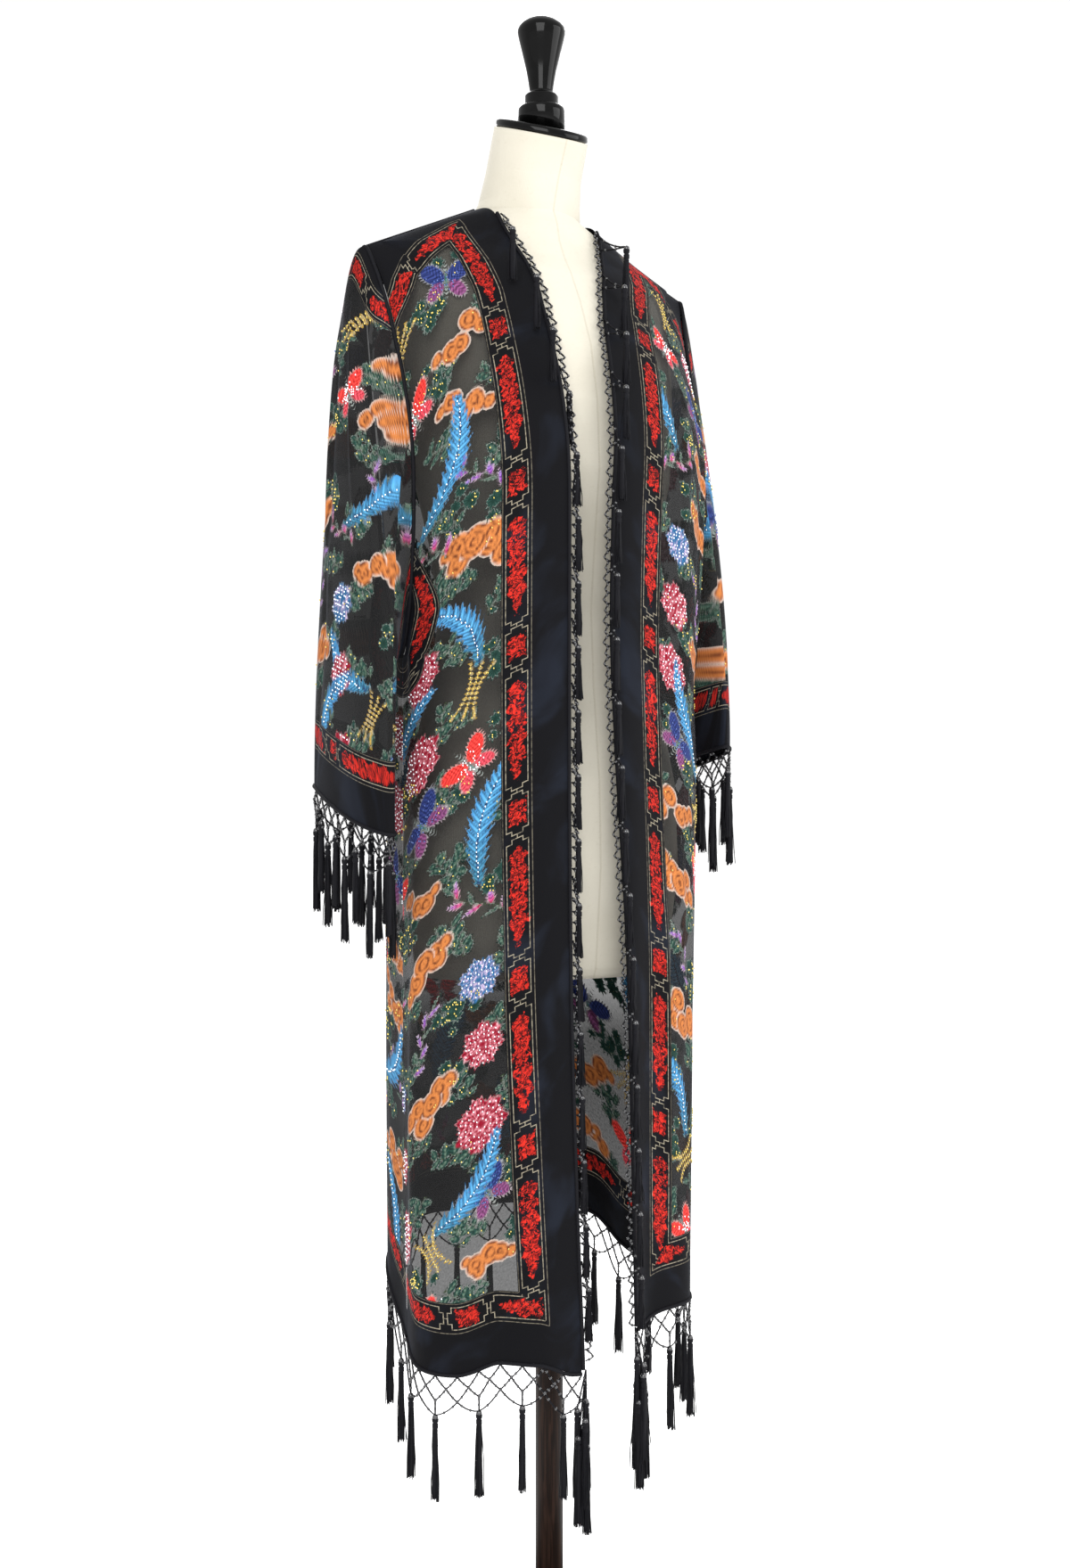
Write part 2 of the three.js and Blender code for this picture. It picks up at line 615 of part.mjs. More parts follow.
// Strip down a front edge with short tassels on it. At the neck of the right front and down all
// of the left one they hang over the cloth, and on the rest they hang in the opening.
function edgeFringe(strip, name) {
  const total = lengthOf(strip.far);
  const inward = name === 'right' ? 1 : -1;
  const parts = [wall([strip.near, strip.far], [strip.normals, strip.normals], false)];
  for (let length = 34; length < total - 30; length += EDGE_TASSEL_PITCH) {
    const root = along(strip.far, length);
    const over = name === 'left' || root.z > 1350;
    const aside = over ? -mix(3, 24, name === 'right' ? smooth((root.z - 1350) / 90) : 0) : 7;
    const knot = vec(root.x + inward * aside, root.y - (over ? 9 : 1), root.z - 6);
    if (over) knot.y = Math.min(knot.y, clothFace(name, knot.x, knot.z) - TASSEL_CLEARANCE);
    const rest = (z) => {
      if (over) return [0, Math.min(0, clothFace(name, knot.x, z) - TASSEL_CLEARANCE - knot.y)];
      const x = -inward * (read(FRONT_EDGE, 'z', z, name) - read(FRONT_EDGE, 'z', knot.z, name));
      const form = formFace(knot.x + x, z - 4, 'front');
      return [x, form === null ? 0 : Math.min(0, form - 8 - knot.y)];
    };
    const hold = vec(root.x - inward * 1.5, root.y, root.z);
    parts.push(tassel(knot, EDGE_TASSEL_LENGTH, 3, rest, [hold]));
  }
  return joined(parts);
}

const group = new THREE.Group();
group.name = 'fringed_kimono_on_dress_form';

function add(name, geometry, colour) {
  const mesh = new THREE.Mesh(geometry, new THREE.MeshStandardMaterial({ color: colour }));
  mesh.name = name;
  group.add(mesh);
}

// Dress form and stand
add('base', turned([
  [BASE.radius - 2, 0], [BASE.radius, 2], [BASE.radius, BASE.height - 4], [BASE.radius - 5, BASE.height],
], 28, 0), 0x1b1613);
add('pole_socket', turned([
  [SOCKET.radius, BASE.height + SEAM_GAP], [SOCKET.radius, BASE.height + 10],
  [SOCKET.radius - 8, BASE.height + 18], [SOCKET.radius - 9, SOCKET.top],
], 16, 0), 0x1b1613);
add('pole', turned([
  [POLE_RADIUS, SOCKET.top + SEAM_GAP], [POLE_RADIUS, TORSO_BOTTOM_Z - SEAM_GAP],
], 20, 0), 0x2a1c15);
add('torso', loft(torsoRings(28)), 0xcfc9b4);
const capBottom = NECK_CAP.z + SEAM_GAP;
add('neck_cap', turned([
  [NECK_CAP.radius - 2, capBottom, NECK_TILT], [NECK_CAP.radius, capBottom + 2, NECK_TILT],
  [NECK_CAP.radius, capBottom + NECK_CAP.height - 2, NECK_TILT],
  [NECK_CAP.radius - 3, capBottom + NECK_CAP.height, NECK_TILT],
], 22, NECK_CAP.y), 0x0c0b0b);
const capTop = capBottom + NECK_CAP.height + SEAM_GAP + 0.1;
add('finial', turned([
  [26, capTop, NECK_TILT], [26, 1675], [25, 1677.5], [19, 1678], [19, 1691], [13, 1694], [14, 1701],
  [18.5, 1728], [26, 1757], [26.5, 1761], [24, 1767], [15, 1774], [4, 1777.3],
], 14, NECK_CAP.y), 0x0c0b0b);

// Common direction of the cloth along the shoulder seams
const seamNormal = (x) => vec(Math.sign(x) * SHOULDER_SLOPE, 0, 1).normalize();

// Panels of the body
const fronts = {};
for (const name of ['right', 'left']) {
  const grid = frontGrid(name, 12);
  const normals = across(grid, false);
  if (normals[8][5].y > 0) normals.forEach((row) => row.forEach((n) => n.negate()));
  normals[0] = grid[0].map((p) => seamNormal(p.x));
  fronts[name] = { grid, normals };
}
const back = { grid: backGrid() };
back.normals = across(back.grid, false);
if (back.normals[8][12].y < 0) back.normals.forEach((row) => row.forEach((n) => n.negate()));
back.normals[0] = back.grid[0].map((p, j) => (
  Math.abs(p.x) >= NECK_POINT.x - 0.1 ? seamNormal(p.x) : back.normals[0][j]
));
for (const name of ['right', 'left']) {
  UPPER_ROWS.concat(LOWER_ROWS).forEach((_, i) => {
    if (i < UPPER_ROWS.length - 1) return;
    const row = fronts[name].normals[i];
    const own = row[row.length - 1];
    const other = back.normals[i][name === 'right' ? 0 : back.normals[i].length - 1];
    own.add(other).normalize();
    other.copy(own);
  });
  add(`front_${name}`, wall(fronts[name].grid, fronts[name].normals, false), 0x2b2a33);
}
add('back_panel', wall(back.grid, back.normals, false), 0x2b2a33);

// Sleeves and their cuff fringes
for (const name of ['right', 'left']) {
  const grid = sleeveGrid(name);
  const normals = across(grid, true);
  const last = grid.length - 1;
  normals[0] = grid[0].map((p, j) => {
    const n = normals[0][j].clone().setX(0);
    return n.normalize();
  });
  add(`sleeve_${name}`, wall(grid, normals, true), 0x2b2a33);
  const strip = edgeStrip(grid[last - 1], grid[last], normals[last], STRIP_HEIGHT, true);
  add(`fringe_cuff_${name}`, netFringe(strip, true), 0x141414);
}

// Hem fringes, one for each panel
for (const [name, panel] of [['right', fronts.right], ['left', fronts.left], ['back', back]]) {
  const last = panel.grid.length - 1;
  const strip = edgeStrip(panel.grid[last - 1], panel.grid[last], panel.normals[last], STRIP_HEIGHT);
  add(`fringe_hem_${name}`, netFringe(strip, false), 0x141414);
}

// Front edge fringes and the strip round the back of the neck
const rise = (p) => vec(0, 0, 2.2 * smooth((p.z - 1470) / 60));
for (const name of ['right', 'left']) {
  const { grid, normals } = fronts[name];
  const rows = grid.slice(2);
  const strip = edgeStrip(
    rows.map((row) => row[1]), rows.map((row) => row[0]), normals.slice(2).map((row) => row[0]), 5, false, rise,
  );
  add(`fringe_front_${name}`, edgeFringe(strip, name), 0x141414);
}
const neckFrom = back.grid[0].findIndex((p) => p.x > -NECK_POINT.x - 0.1);
const neckTo = back.grid[0].length - neckFrom;
const neckStrip = edgeStrip(
  back.grid[1].slice(neckFrom + 1, neckTo - 1), back.grid[0].slice(neckFrom + 1, neckTo - 1),
  back.normals[0].slice(neckFrom + 1, neckTo - 1), 5, false, () => vec(0, 0, 2),
);
add('fringe_neck', wall([neckStrip.near, neckStrip.far], [neckStrip.normals, neckStrip.normals], false), 0x141414);

export default group;
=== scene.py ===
"""Looks of a fringed burn-out velvet kimono jacket hung on a limbless dress form.

The cloth panels are thin shells on the same curves as their solids. Sizes are in
millimetres until a mesh is made.
"""

from __future__ import annotations

import json
import logging
import math
from dataclasses import dataclass, field
from enum import Enum

import bpy
import numpy as np
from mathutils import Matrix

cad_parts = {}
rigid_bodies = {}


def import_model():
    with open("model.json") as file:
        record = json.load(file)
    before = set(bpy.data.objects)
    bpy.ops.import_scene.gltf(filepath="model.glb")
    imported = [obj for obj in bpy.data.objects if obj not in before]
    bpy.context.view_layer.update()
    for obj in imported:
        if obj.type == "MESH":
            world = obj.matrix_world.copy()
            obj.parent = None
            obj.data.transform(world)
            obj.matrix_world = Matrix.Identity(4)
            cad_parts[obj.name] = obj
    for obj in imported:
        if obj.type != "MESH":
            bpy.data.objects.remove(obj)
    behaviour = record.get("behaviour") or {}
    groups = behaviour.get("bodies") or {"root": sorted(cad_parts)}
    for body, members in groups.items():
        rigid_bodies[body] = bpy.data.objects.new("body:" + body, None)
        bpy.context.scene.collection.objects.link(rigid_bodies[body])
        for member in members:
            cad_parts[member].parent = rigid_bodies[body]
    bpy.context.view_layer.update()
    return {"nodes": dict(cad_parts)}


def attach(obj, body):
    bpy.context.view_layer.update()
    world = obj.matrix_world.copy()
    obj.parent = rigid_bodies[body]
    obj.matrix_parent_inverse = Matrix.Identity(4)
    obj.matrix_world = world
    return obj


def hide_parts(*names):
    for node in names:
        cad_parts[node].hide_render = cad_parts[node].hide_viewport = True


LOG = logging.getLogger("kimono")
MM = 0.001
Array = np.ndarray

# Camera
VIEW_TURN = math.radians(33.0)
CAMERA_DISTANCE = 2.146
CAMERA_SIDE = 0.0155
CAMERA_HEIGHT = 0.9
FOCAL_PIXELS = 2216.0
PICTURE = (1200, 1759)
HORIZON_PIXEL = 920.0

# Cloth
NECK_POINT = (66.5, 48.0, 1563.5)
SHOULDER_TIP = (205.0, 40.0, 1500.0)
SHOULDER_SLOPE = (NECK_POINT[2] - SHOULDER_TIP[2]) / (SHOULDER_TIP[0] - NECK_POINT[0])
UNDERARM_Z = 1070.0
ARMHOLE_DROP = SHOULDER_TIP[2] - UNDERARM_Z
LOWER_DROP = 730.0
SIDE_Y = 12.0
ARMHOLE_HALF_OPENING = 38.0
FORM_CLEARANCE = 2.8
PLAN_POWER = 2.2
SEAM_GAP = 0.3

# Ornament, in millimetres from each edge
FRONT_MARGIN = 38.0
SHOULDER_MARGIN = 28.0
ARM_MARGIN = 12.0
HEM_MARGIN = 40.0
BAND_WIDTH = 32.0
BAND_REPEAT = 170.0
FAR_FROM_MOTIFS = 60.0

# Trim
STRIP_GAP = 0.45
STRIP_HEIGHT = 4.0
NET_PITCH = 44.0
KNOT_DEPTH = 12.0
ROW_DEPTH = 25.0
NET_DEPTH = 40.0
TASSEL_LENGTH = 90.0
EDGE_TASSEL_PITCH = 66.0
EDGE_TASSEL_LENGTH = 58.0
TASSEL_CLEARANCE = 8.2


class Side(Enum):
    """Side of the wearer."""

    RIGHT = "right"
    LEFT = "left"

    @property
    def sign(self) -> int:
        """Direction of X on this side."""
        return -1 if self is Side.RIGHT else 1


class Face(Enum):
    """Front or back of the garment."""

    FRONT = "front"
    BACK = "back"

    @property
    def out(self) -> int:
        """Direction of Y away from the form."""
        return -1 if self is Face.FRONT else 1


class Table:
    """Short table with named columns, read on a smooth or straight curve."""

    def __init__(self, columns: tuple[str, ...], rows: list[tuple[float, ...]]) -> None:
        self.data = {name: np.array([row[i] for row in rows], float) for i, name in enumerate(columns)}
        self.key = self.data[columns[0]]

    def smooth(self, at: Array, column: str) -> Array:
        """Monotone cubic value: Hermite curve with harmonic mean slopes.

        Args:
            at: Keys.
            column: Name of the column.

        Returns:
            Values with the shape of the keys.
        """
        x, y = self.key, self.data[column]
        at = np.clip(np.asarray(at, float), x[0], x[-1])
        i = np.clip(np.searchsorted(x, at, side="left") - 1, 0, len(x) - 2)
        step = np.diff(x)
        rise = np.diff(y) / step
        slopes = np.empty_like(y)
        slopes[0], slopes[-1] = rise[0], rise[-1]
        a, b = rise[:-1], rise[1:]
        total = np.where(a * b > 0, a + b, 1.0)
        slopes[1:-1] = np.where(a * b > 0, 2 * a * b / total, 0.0)
        t = (at - x[i]) / step[i]
        s = 1 - t
        return (
            y[i] * s * s * (1 + 2 * t)
            + slopes[i] * step[i] * t * s * s
            + y[i + 1] * t * t * (3 - 2 * t)
            - slopes[i + 1] * step[i] * t * t * s
        )

    def straight(self, at: Array, column: str) -> Array:
        """Value on straight lines between the rows."""
        return np.interp(at, self.key, self.data[column])


FORM = Table(
    ("z", "half", "centre", "front", "back", "power", "tilt"),
    [
        (733.5, 140, 14, -84, 106, 2.2, 0),
        (744, 147, 14, -89, 112, 2.2, 0),
        (850, 160, 14, -98, 124, 2.2, 0),
        (940, 156, 14, -96, 120, 2.2, 0),
        (1040, 132, 12, -85, 105, 2.2, 0),
        (1120, 119, 12, -80, 98, 2.2, 0),
        (1195, 129, 14, -87, 106, 2.2, 0),
        (1270, 146, 16, -96, 116, 2.3, 0),
        (1340, 156, 22, -92, 121, 2.3, 0),
        (1400, 163, 30, -80, 121, 2.2, 0),
        (1450, 172, 38, -60, 117, 2.0, 0),
        (1485, 182, 41, -42, 112, 1.7, 0),
        (1505, 187, 41, -29, 102, 1.4, 0),
        (1524.6, 146.3, 43.3, -20, 99, 1.42, 0),
        (1545, 102.7, 45.8, -15, 97, 1.55, 0),
        (1560.4, 66, 47, -8, 90, 1.7, 0),
        (1575, 58, 42, -12, 91, 2.0, 0),
        (1605, 53, 32, -19, 83, 2.0, 0.18),
        (1648, 51, 16.5, -34.5, 67.5, 2.0, 0.36),
    ],
)

BODY = Table(
    ("drop", "right", "left", "back"),
    [
        (0, 205, 205, 0),
        (30, 197, 197, 52),
        (88, 190, 190, 84),
        (180, 184, 184, 106),
        (310, 179, 178, 120),
        (430, 176, 173, 124),
        (800, 177, 171, 127),
        (1160, 173, 163, 131),
    ],
)

FRONT_EDGE = Table(
    ("z", "right", "left"),
    [
        (340, 38, 26),
        (540, 47, 21),
        (740, 53, 16),
        (980, 55, 2),
        (1100, 55, -3),
        (1230, 55, 0),
        (1320, 57, 7),
        (1390, 56, 17),
        (1456, 53, 33),
        (1515, 60.5, 57),
        (1540, 65.5, 64),
        (1563.5, 66.5, 66.5),
    ],
)

HEM = Table(
    ("turn", "right", "left"),
    [
        (0, 331, 370),
        (20, 334, 374),
        (35, 348, 382),
        (50, 349, 385),
        (65, 336, 388),
        (78, 340, 390),
        (90, 362, 394),
        (100, 386, 402),
        (112, 425, 416),
        (126, 448, 444),
        (145, 458, 459),
        (180, 462, 462),
    ],
)

FOLD = Table(
    ("drop", "depth"),
    [(0, 0), (110, 0), (250, 2), (430, 3.2), (700, 5.5), (1000, 8.5), (1160, 10)],
)

BACK_TOP = np.array([0, 17, 34, 50, 61, 66.5, 84, 106, 130, 154, 176, 193, 205], float)


def step_smooth(t: Array) -> Array:
    """Smooth step: 3t^2 - 2t^3 between 0 and 1."""
    c = np.clip(t, 0.0, 1.0)
    return c * c * (3 - 2 * c)


def mix(a: Array, b: Array, t: Array) -> Array:
    """Straight blend from a to b."""
    return a + (b - a) * t


def arc(x: Array, half: Array, power: Array) -> Array:
    """Superellipse depth share: (1 - |x/half|^power)^(1/power)."""
    part = np.minimum(np.abs(x) / np.maximum(half, 1e-6), 1.0)
    return np.maximum(1.0 - part**power, 0.0) ** (1.0 / power)


def unit(v: Array) -> Array:
    """Vectors scaled to length one."""
    return v / np.maximum(np.linalg.norm(v, axis=-1, keepdims=True), 1e-9)


def form_face(x: Array, z: Array, face: Face) -> Array:
    """Y of the dress form's surface at x and z, or NaN beside it."""
    half = FORM.straight(z, "half")
    centre = FORM.straight(z, "centre")
    reach = FORM.straight(z, face.value) - centre
    y = centre + reach * arc(x, half, FORM.straight(z, "power"))
    outside = (np.abs(x) >= half) | (z > 1600) | (z < FORM.key[0])
    return np.where(outside, np.nan, y)


def opening(drop: Array) -> Array:
    """Half opening of the armhole at a drop below the shoulder tip."""
    inside = (drop > 0) & (drop < ARMHOLE_DROP)
    wave = np.sin(math.pi * np.clip(drop, 0, ARMHOLE_DROP) / ARMHOLE_DROP)
    return np.where(inside, ARMHOLE_HALF_OPENING * np.maximum(wave, 0) ** 0.6, 0.0)


@dataclass(frozen=True)
class Plan:
    """Level plan curve of one panel."""

    half: Array
    wide: Array
    depth: Array
    end: Array


def plan(side: Side, face: Face, full: Array) -> Plan:
    """Plan curve at a drop: half width, width of its full curve, depth and end angle."""
    half = BODY.smooth(full, side.value)
    if face is Face.FRONT:
        depth = 134 * np.sin(math.pi / 2 * np.minimum(1, full / 270)) ** 0.62
    else:
        depth = BODY.smooth(full, "back")
    share = np.where(depth > 0, np.minimum(0.7, opening(full) / np.maximum(depth, 1e-6)), 0.0)
    wide = half / (1 - share**PLAN_POWER) ** (1 / PLAN_POWER)
    end = np.arcsin(np.minimum(1.0, (half / wide) ** (PLAN_POWER / 2)))
    return Plan(half, wide, depth, end)


def body_points(side: Side, face: Face, x: Array, full: Array, lower: Array) -> Array:
    """Middle of the cloth of the body.

    Args:
        side: Side of the wearer.
        face: Front or back.
        x: Distance from the middle, before the folds.
        full: Drop below the shoulder line.
        lower: Part of the way from the underarm to the hem, or 0 above it.

    Returns:
        Points with a last axis of x, y and z.
    """
    curve = plan(side, face, full)
    away = np.abs(x)
    rise = (away - NECK_POINT[0]) / (SHOULDER_TIP[0] - NECK_POINT[0])
    top_y = mix(NECK_POINT[1], SHOULDER_TIP[1], np.maximum(0, rise))
    top_z = NECK_POINT[2] - np.maximum(0, away - NECK_POINT[0]) * SHOULDER_SLOPE
    side_y = mix(top_y, SIDE_Y, step_smooth(full / 250))
    y = side_y + face.out * curve.depth * arc(x, curve.wide, PLAN_POWER)
    level = 1 - step_smooth(full / ARMHOLE_DROP)
    z = SHOULDER_TIP[2] - np.minimum(full, ARMHOLE_DROP) + (top_z - SHOULDER_TIP[2]) * level
    turn = np.arctan2(away, -(y - SIDE_Y))
    hem = HEM.smooth(np.degrees(turn), side.value)
    z = np.where(lower > 0, mix(UNDERARM_Z, hem, lower), z)
    angle = side.sign * turn
    wave = 0.62 * np.sin(9 * angle + 0.6) + 0.38 * np.sin(5 * angle + 2.1)
    wave = wave * FOLD.smooth(full, "depth")
    px = side.sign * (x + wave * np.sin(turn))
    py = y - wave * np.cos(turn)
    seated = (full == 0) & (away > NECK_POINT[0] - 0.1)
    form = form_face(px, z - np.where(full > 0, FORM_CLEARANCE, 0.0), face)
    clear = FORM_CLEARANCE + 1.6 * step_smooth((z - 1540) / 20)
    pushed = form + face.out * clear
    inside = ~seated & ~np.isnan(form) & (face.out * py < face.out * pushed)
    py = np.where(inside, pushed, py) + face.out * SEAM_GAP / 2
    return np.stack(np.broadcast_arrays(px, py, z), axis=-1)


def body_rows(upper: int, lower: int) -> tuple[Array, Array]:
    """Drops and lower parts of the rows from the shoulder to the hem."""
    top = ARMHOLE_DROP * np.linspace(0, 1, upper) ** 1.5
    low = np.linspace(0, 1, lower + 1)[1:]
    full = np.concatenate([top, ARMHOLE_DROP + LOWER_DROP * low])
    return full[:, None], np.concatenate([np.zeros(upper), low])[:, None]


# Sleeves
@dataclass(frozen=True)
class Cuff:
    """End of a flattened sleeve, and how full its head is."""

    x: float
    y: float
    half_length: float
    half_width: float
    front_z: float
    back_z: float
    cap: float
    fall: float


CUFFS = {
    Side.RIGHT: Cuff(223, 31, 79, 19, 887, 940, 30, 0.62),
    Side.LEFT: Cuff(213, 31, 76, 19, 985, 950, 12, 0.42),
}


def sleeve_points(side: Side, share: Array, t: Array) -> Array:
    """Middle of a sleeve's cloth: a Bezier curve from the armhole to the cuff.

    Args:
        side: Side of the wearer.
        share: Part of the way round from the shoulder tip, by the front.
        t: Part of the way down.

    Returns:
        Points with a last axis of x, y and z.
    """
    cuff = CUFFS[side]
    down = np.where(share <= 0.5, share * 2, 2 - share * 2)
    drop = ARMHOLE_DROP * (0.5 - 0.5 * np.cos(math.pi * down))
    lap = mix(0.8, 3.1, step_smooth(drop / 22))
    towards = np.where(share < 0.5, -1.0, 1.0)
    edge = np.where((drop > 0) & (drop < ARMHOLE_DROP), 1.5, 0.0)
    root = np.stack(
        [
            side.sign * (BODY.smooth(drop, side.value) + lap),
            mix(SHOULDER_TIP[1], SIDE_Y, step_smooth(drop / 250)) + towards * (opening(drop) + edge),
            SHOULDER_TIP[2] - drop - np.where(down >= 1, 1.0, 0.0),
        ],
        axis=-1,
    )
    angle = share * 2 * math.pi
    along = -np.sign(np.sin(angle)) * np.abs(np.sin(angle)) ** 0.85
    round_x = np.sign(np.cos(angle)) * np.abs(np.cos(angle)) ** 0.85
    across = round_x * cuff.half_width + 2.2 * np.sin(3 * angle + 0.5)
    end = np.stack(
        [
            side.sign * (cuff.x + across),
            cuff.y + along * cuff.half_length,
            mix(cuff.front_z, cuff.back_z, (along + 1) / 2),
        ],
        axis=-1,
    )
    high = 0.5 + 0.5 * np.cos(angle)
    lead = root + np.stack([side.sign * mix(9, cuff.cap, high), 0 * high, mix(-6, 4, high)], axis=-1)
    fall = end + np.stack([0 * high, 0 * high, cuff.fall * (root[..., 2] - end[..., 2])], axis=-1)
    t = t[..., None]
    s = 1 - t
    return s**3 * root + 3 * s * s * t * lead + 3 * s * t * t * fall + t**3 * end


# Motifs of the burnt-out pattern
class Kind(Enum):
    """Sort of motif."""

    PEONY = "peony"
    FROND = "frond"
    CLOUD = "cloud"
    SPRAY = "spray"
    BUDS = "buds"
    BUTTERFLY = "butterfly"
    TUFTS = "tufts"
    EARS = "ears"


class Bead(Enum):
    """Colour of the beads sewn on a motif."""

    CLEAR = "clear"
    GOLD = "gold"
    NAVY = "navy"


@dataclass(frozen=True)
class Motif:
    """One motif: its place across and down the panel, size, turn and main colour."""

    kind: Kind
    s: float
    t: float
    size: float
    turn: float
    colour: tuple[float, float, float]


CRIMSON = (0.36, 0.008, 0.03)
BLUE = (0.035, 0.17, 0.38)
NAVY = (0.008, 0.018, 0.1)
ORANGE = (0.45, 0.15, 0.04)
GREEN = (0.005, 0.021, 0.016)
RED = (0.5, 0.02, 0.015)
VIOLET = (0.16, 0.02, 0.2)
GOLD = (0.4, 0.25, 0.04)


def blend_colour(low: Array, high: Array, t: Array) -> Array:
    """Colours between two colours."""
    return np.asarray(low) + (np.asarray(high) - np.asarray(low)) * np.clip(t, 0, 1)[..., None]


@dataclass
class Drawing:
    """One drawn motif: signed distance, colour, length across its fine lines, and bead places."""

    distance: Array
    colour: Array
    stripe: Array
    spots: Array = field(default_factory=lambda: np.zeros((0, 2)))
    bead: Bead = Bead.CLEAR

    def over(self, other: Drawing) -> Drawing:
        """This drawing laid on another."""
        take = self.distance < np.minimum(other.distance, 1e9)
        return Drawing(
            np.minimum(self.distance, other.distance),
            np.where(take[..., None], self.colour, other.colour),
            np.where(take, self.stripe, other.stripe),
            np.concatenate([self.spots, other.spots]),
            self.bead,
        )


class MotifShapes:
    """Draws the motifs in a motif's own coordinates, with y along its stem."""

    def __init__(self, size: float, colour: tuple[float, float, float], seed: int) -> None:
        self.size = size
        self.colour = np.array(colour)
        self.seed = seed
        self.rng = np.random.default_rng(seed)

    def ring_spots(self, rings: int) -> Array:
        """Bead places on rings within the motif."""
        spots = []
        for i in range(1, rings + 1):
            radius = self.size * 0.86 * i / rings
            count = int(radius * 1.1)
            angle = np.arange(count) / max(count, 1) * 2 * math.pi + i
            spots.append(np.stack([radius * np.cos(angle), radius * np.sin(angle)], axis=-1))
        return np.concatenate(spots)

    def peony(self, x: Array, y: Array) -> Drawing:
        """Rings of scalloped petals, each paler towards its rim."""
        r, a = np.hypot(x, y), np.arctan2(y, x)
        outer = self.size * (1 + 0.09 * np.cos(7 * a + self.seed) + 0.05 * np.cos(16 * a))
        shade = np.zeros_like(r)
        stripe = a * self.size
        for i, (share, petals) in enumerate([(1.0, 9), (0.8, 8), (0.6, 7), (0.42, 5), (0.24, 4)]):
            turn = a + 1.3 * i + 0.2 * self.seed
            rim = outer * share * (0.9 + 0.16 * np.abs(np.cos(petals * turn / 2)))
            inside = r < rim
            near = np.clip(1 - (rim - r) / (self.size * 0.13), 0, 1)
            shade = np.where(inside, near**2, shade)
        pale = self.colour * 0.5 + np.array([0.5, 0.3, 0.34])
        colour = blend_colour(self.colour * 0.55, pale, shade)
        return Drawing(r - outer, colour, stripe, self.ring_spots(4), Bead.CLEAR)

    def frond(self, x: Array, y: Array) -> Drawing:
        """Curved fern frond with slanting leaflets and a beaded stem."""
        length = self.size
        width = 8.0 + 0.05 * length
        t = np.clip(y / length, 0, 1)
        bend = 0.16 * length * (1 if self.seed % 2 else -1)
        x = x - bend * np.sin(math.pi * t)
        reach = width * np.sin(math.pi * np.clip(0.06 + 0.9 * t, 0, 1)) ** 0.7
        leaflet = ((y - 0.8 * np.abs(x)) / 9.0) % 1.0
        reach = reach * (0.45 + 0.65 * leaflet) + 1.2
        distance = np.maximum(np.abs(x) - reach, np.maximum(-y, y - length))
        inner = np.clip(1 - np.abs(x) / (reach + 0.1), 0, 1)
        colour = blend_colour(self.colour * 0.8, np.array([0.1, 0.34, 0.56]), inner * 0.8)
        colour = blend_colour(np.array([0.02, 0.08, 0.07]), colour, 0.3 + 1.8 * t)
        colour = blend_colour(colour, np.array([0.004, 0.02, 0.06]), 0.9 - 2.6 * leaflet)
        colour = np.where((np.abs(x) < 1.0)[..., None], np.array([0.02, 0.05, 0.12]), colour)
        steps = np.arange(0.06 * length, length * 0.97, 4.2)
        bow = bend * np.sin(math.pi * steps / length)
        return Drawing(distance, colour, y - 0.8 * np.abs(x), np.stack([bow, steps], axis=-1), Bead.CLEAR)

    def cloud(self, x: Array, y: Array) -> Drawing:
        """Scalloped cloud of overlapping lobes, each ringed in orange, brown and white."""
        drawing = Drawing(np.full(x.shape, 1e3), np.zeros((*x.shape, 3)), np.full(x.shape, 1.15))
        for i in (-2, 2, -1, 1, 0, -1, 1):
            cx = 0.4 * i * self.size + self.rng.uniform(-3, 3)
            cy = self.rng.uniform(-0.35, 0.35) * self.size
            radius = self.size * (self.rng.uniform(0.32, 0.46) - 0.05 * abs(i))
            r = np.hypot(x - cx, y - cy)
            tone = np.cos(1.15 * (r - radius)) + 0.5 * np.sin(0.5 * x + 0.3 * y)
            colour = blend_colour(np.array([0.1, 0.025, 0.01]), self.colour, (tone + 1.2) * 0.7)
            rim = np.clip(1 + (r - radius) / 2.4, 0, 1)
            colour = blend_colour(colour, np.array([0.5, 0.4, 0.35]), rim)
            if i == 0:
                drawing.colour = np.where((r < radius)[..., None], colour, drawing.colour)
                drawing.distance = np.minimum(r - radius, drawing.distance)
            else:
                drawing = Drawing(r - radius, colour, drawing.stripe).over(drawing)
        return drawing

    def leaf(self, x: Array, y: Array, turn: float, length: float, plump: float = 0.33) -> Drawing:
        """Almond leaf with a jagged edge, from the origin."""
        c, s = math.cos(turn), math.sin(turn)
        u, v = c * x + s * y, -s * x + c * y
        t = np.clip(u / length, 0, 1)
        saw = (u / length * 6) % 1.0
        reach = length * plump * np.sin(math.pi * t**0.8) ** 0.8 * (1.12 - 0.3 * saw)
        distance = np.maximum(np.abs(v) - reach, np.maximum(-u, u - length))
        vein = np.where(np.abs(v) < 0.8, 1.0, 0.0)
        share = np.clip(1 - np.abs(v) / (reach + 0.1), 0, 1)
        colour = blend_colour(self.colour, self.colour * 1.9 + 0.006, share)
        colour = blend_colour(colour, np.array([0.1, 0.15, 0.11]), vein * 0.7)
        return Drawing(distance, colour, u - 1.2 * np.abs(v))

    def stem(self, x: Array, y: Array, wave: float) -> tuple[Array, Drawing]:
        """Thin curved stem, and X measured from it."""
        x = x - wave * self.size * np.sin(2.4 * y / self.size)
        distance = np.maximum(np.abs(x) - 0.8, np.abs(y) - self.size)
        tone = np.broadcast_to(np.array([0.04, 0.06, 0.03]), (*x.shape, 3))
        return x, Drawing(distance, tone, y)

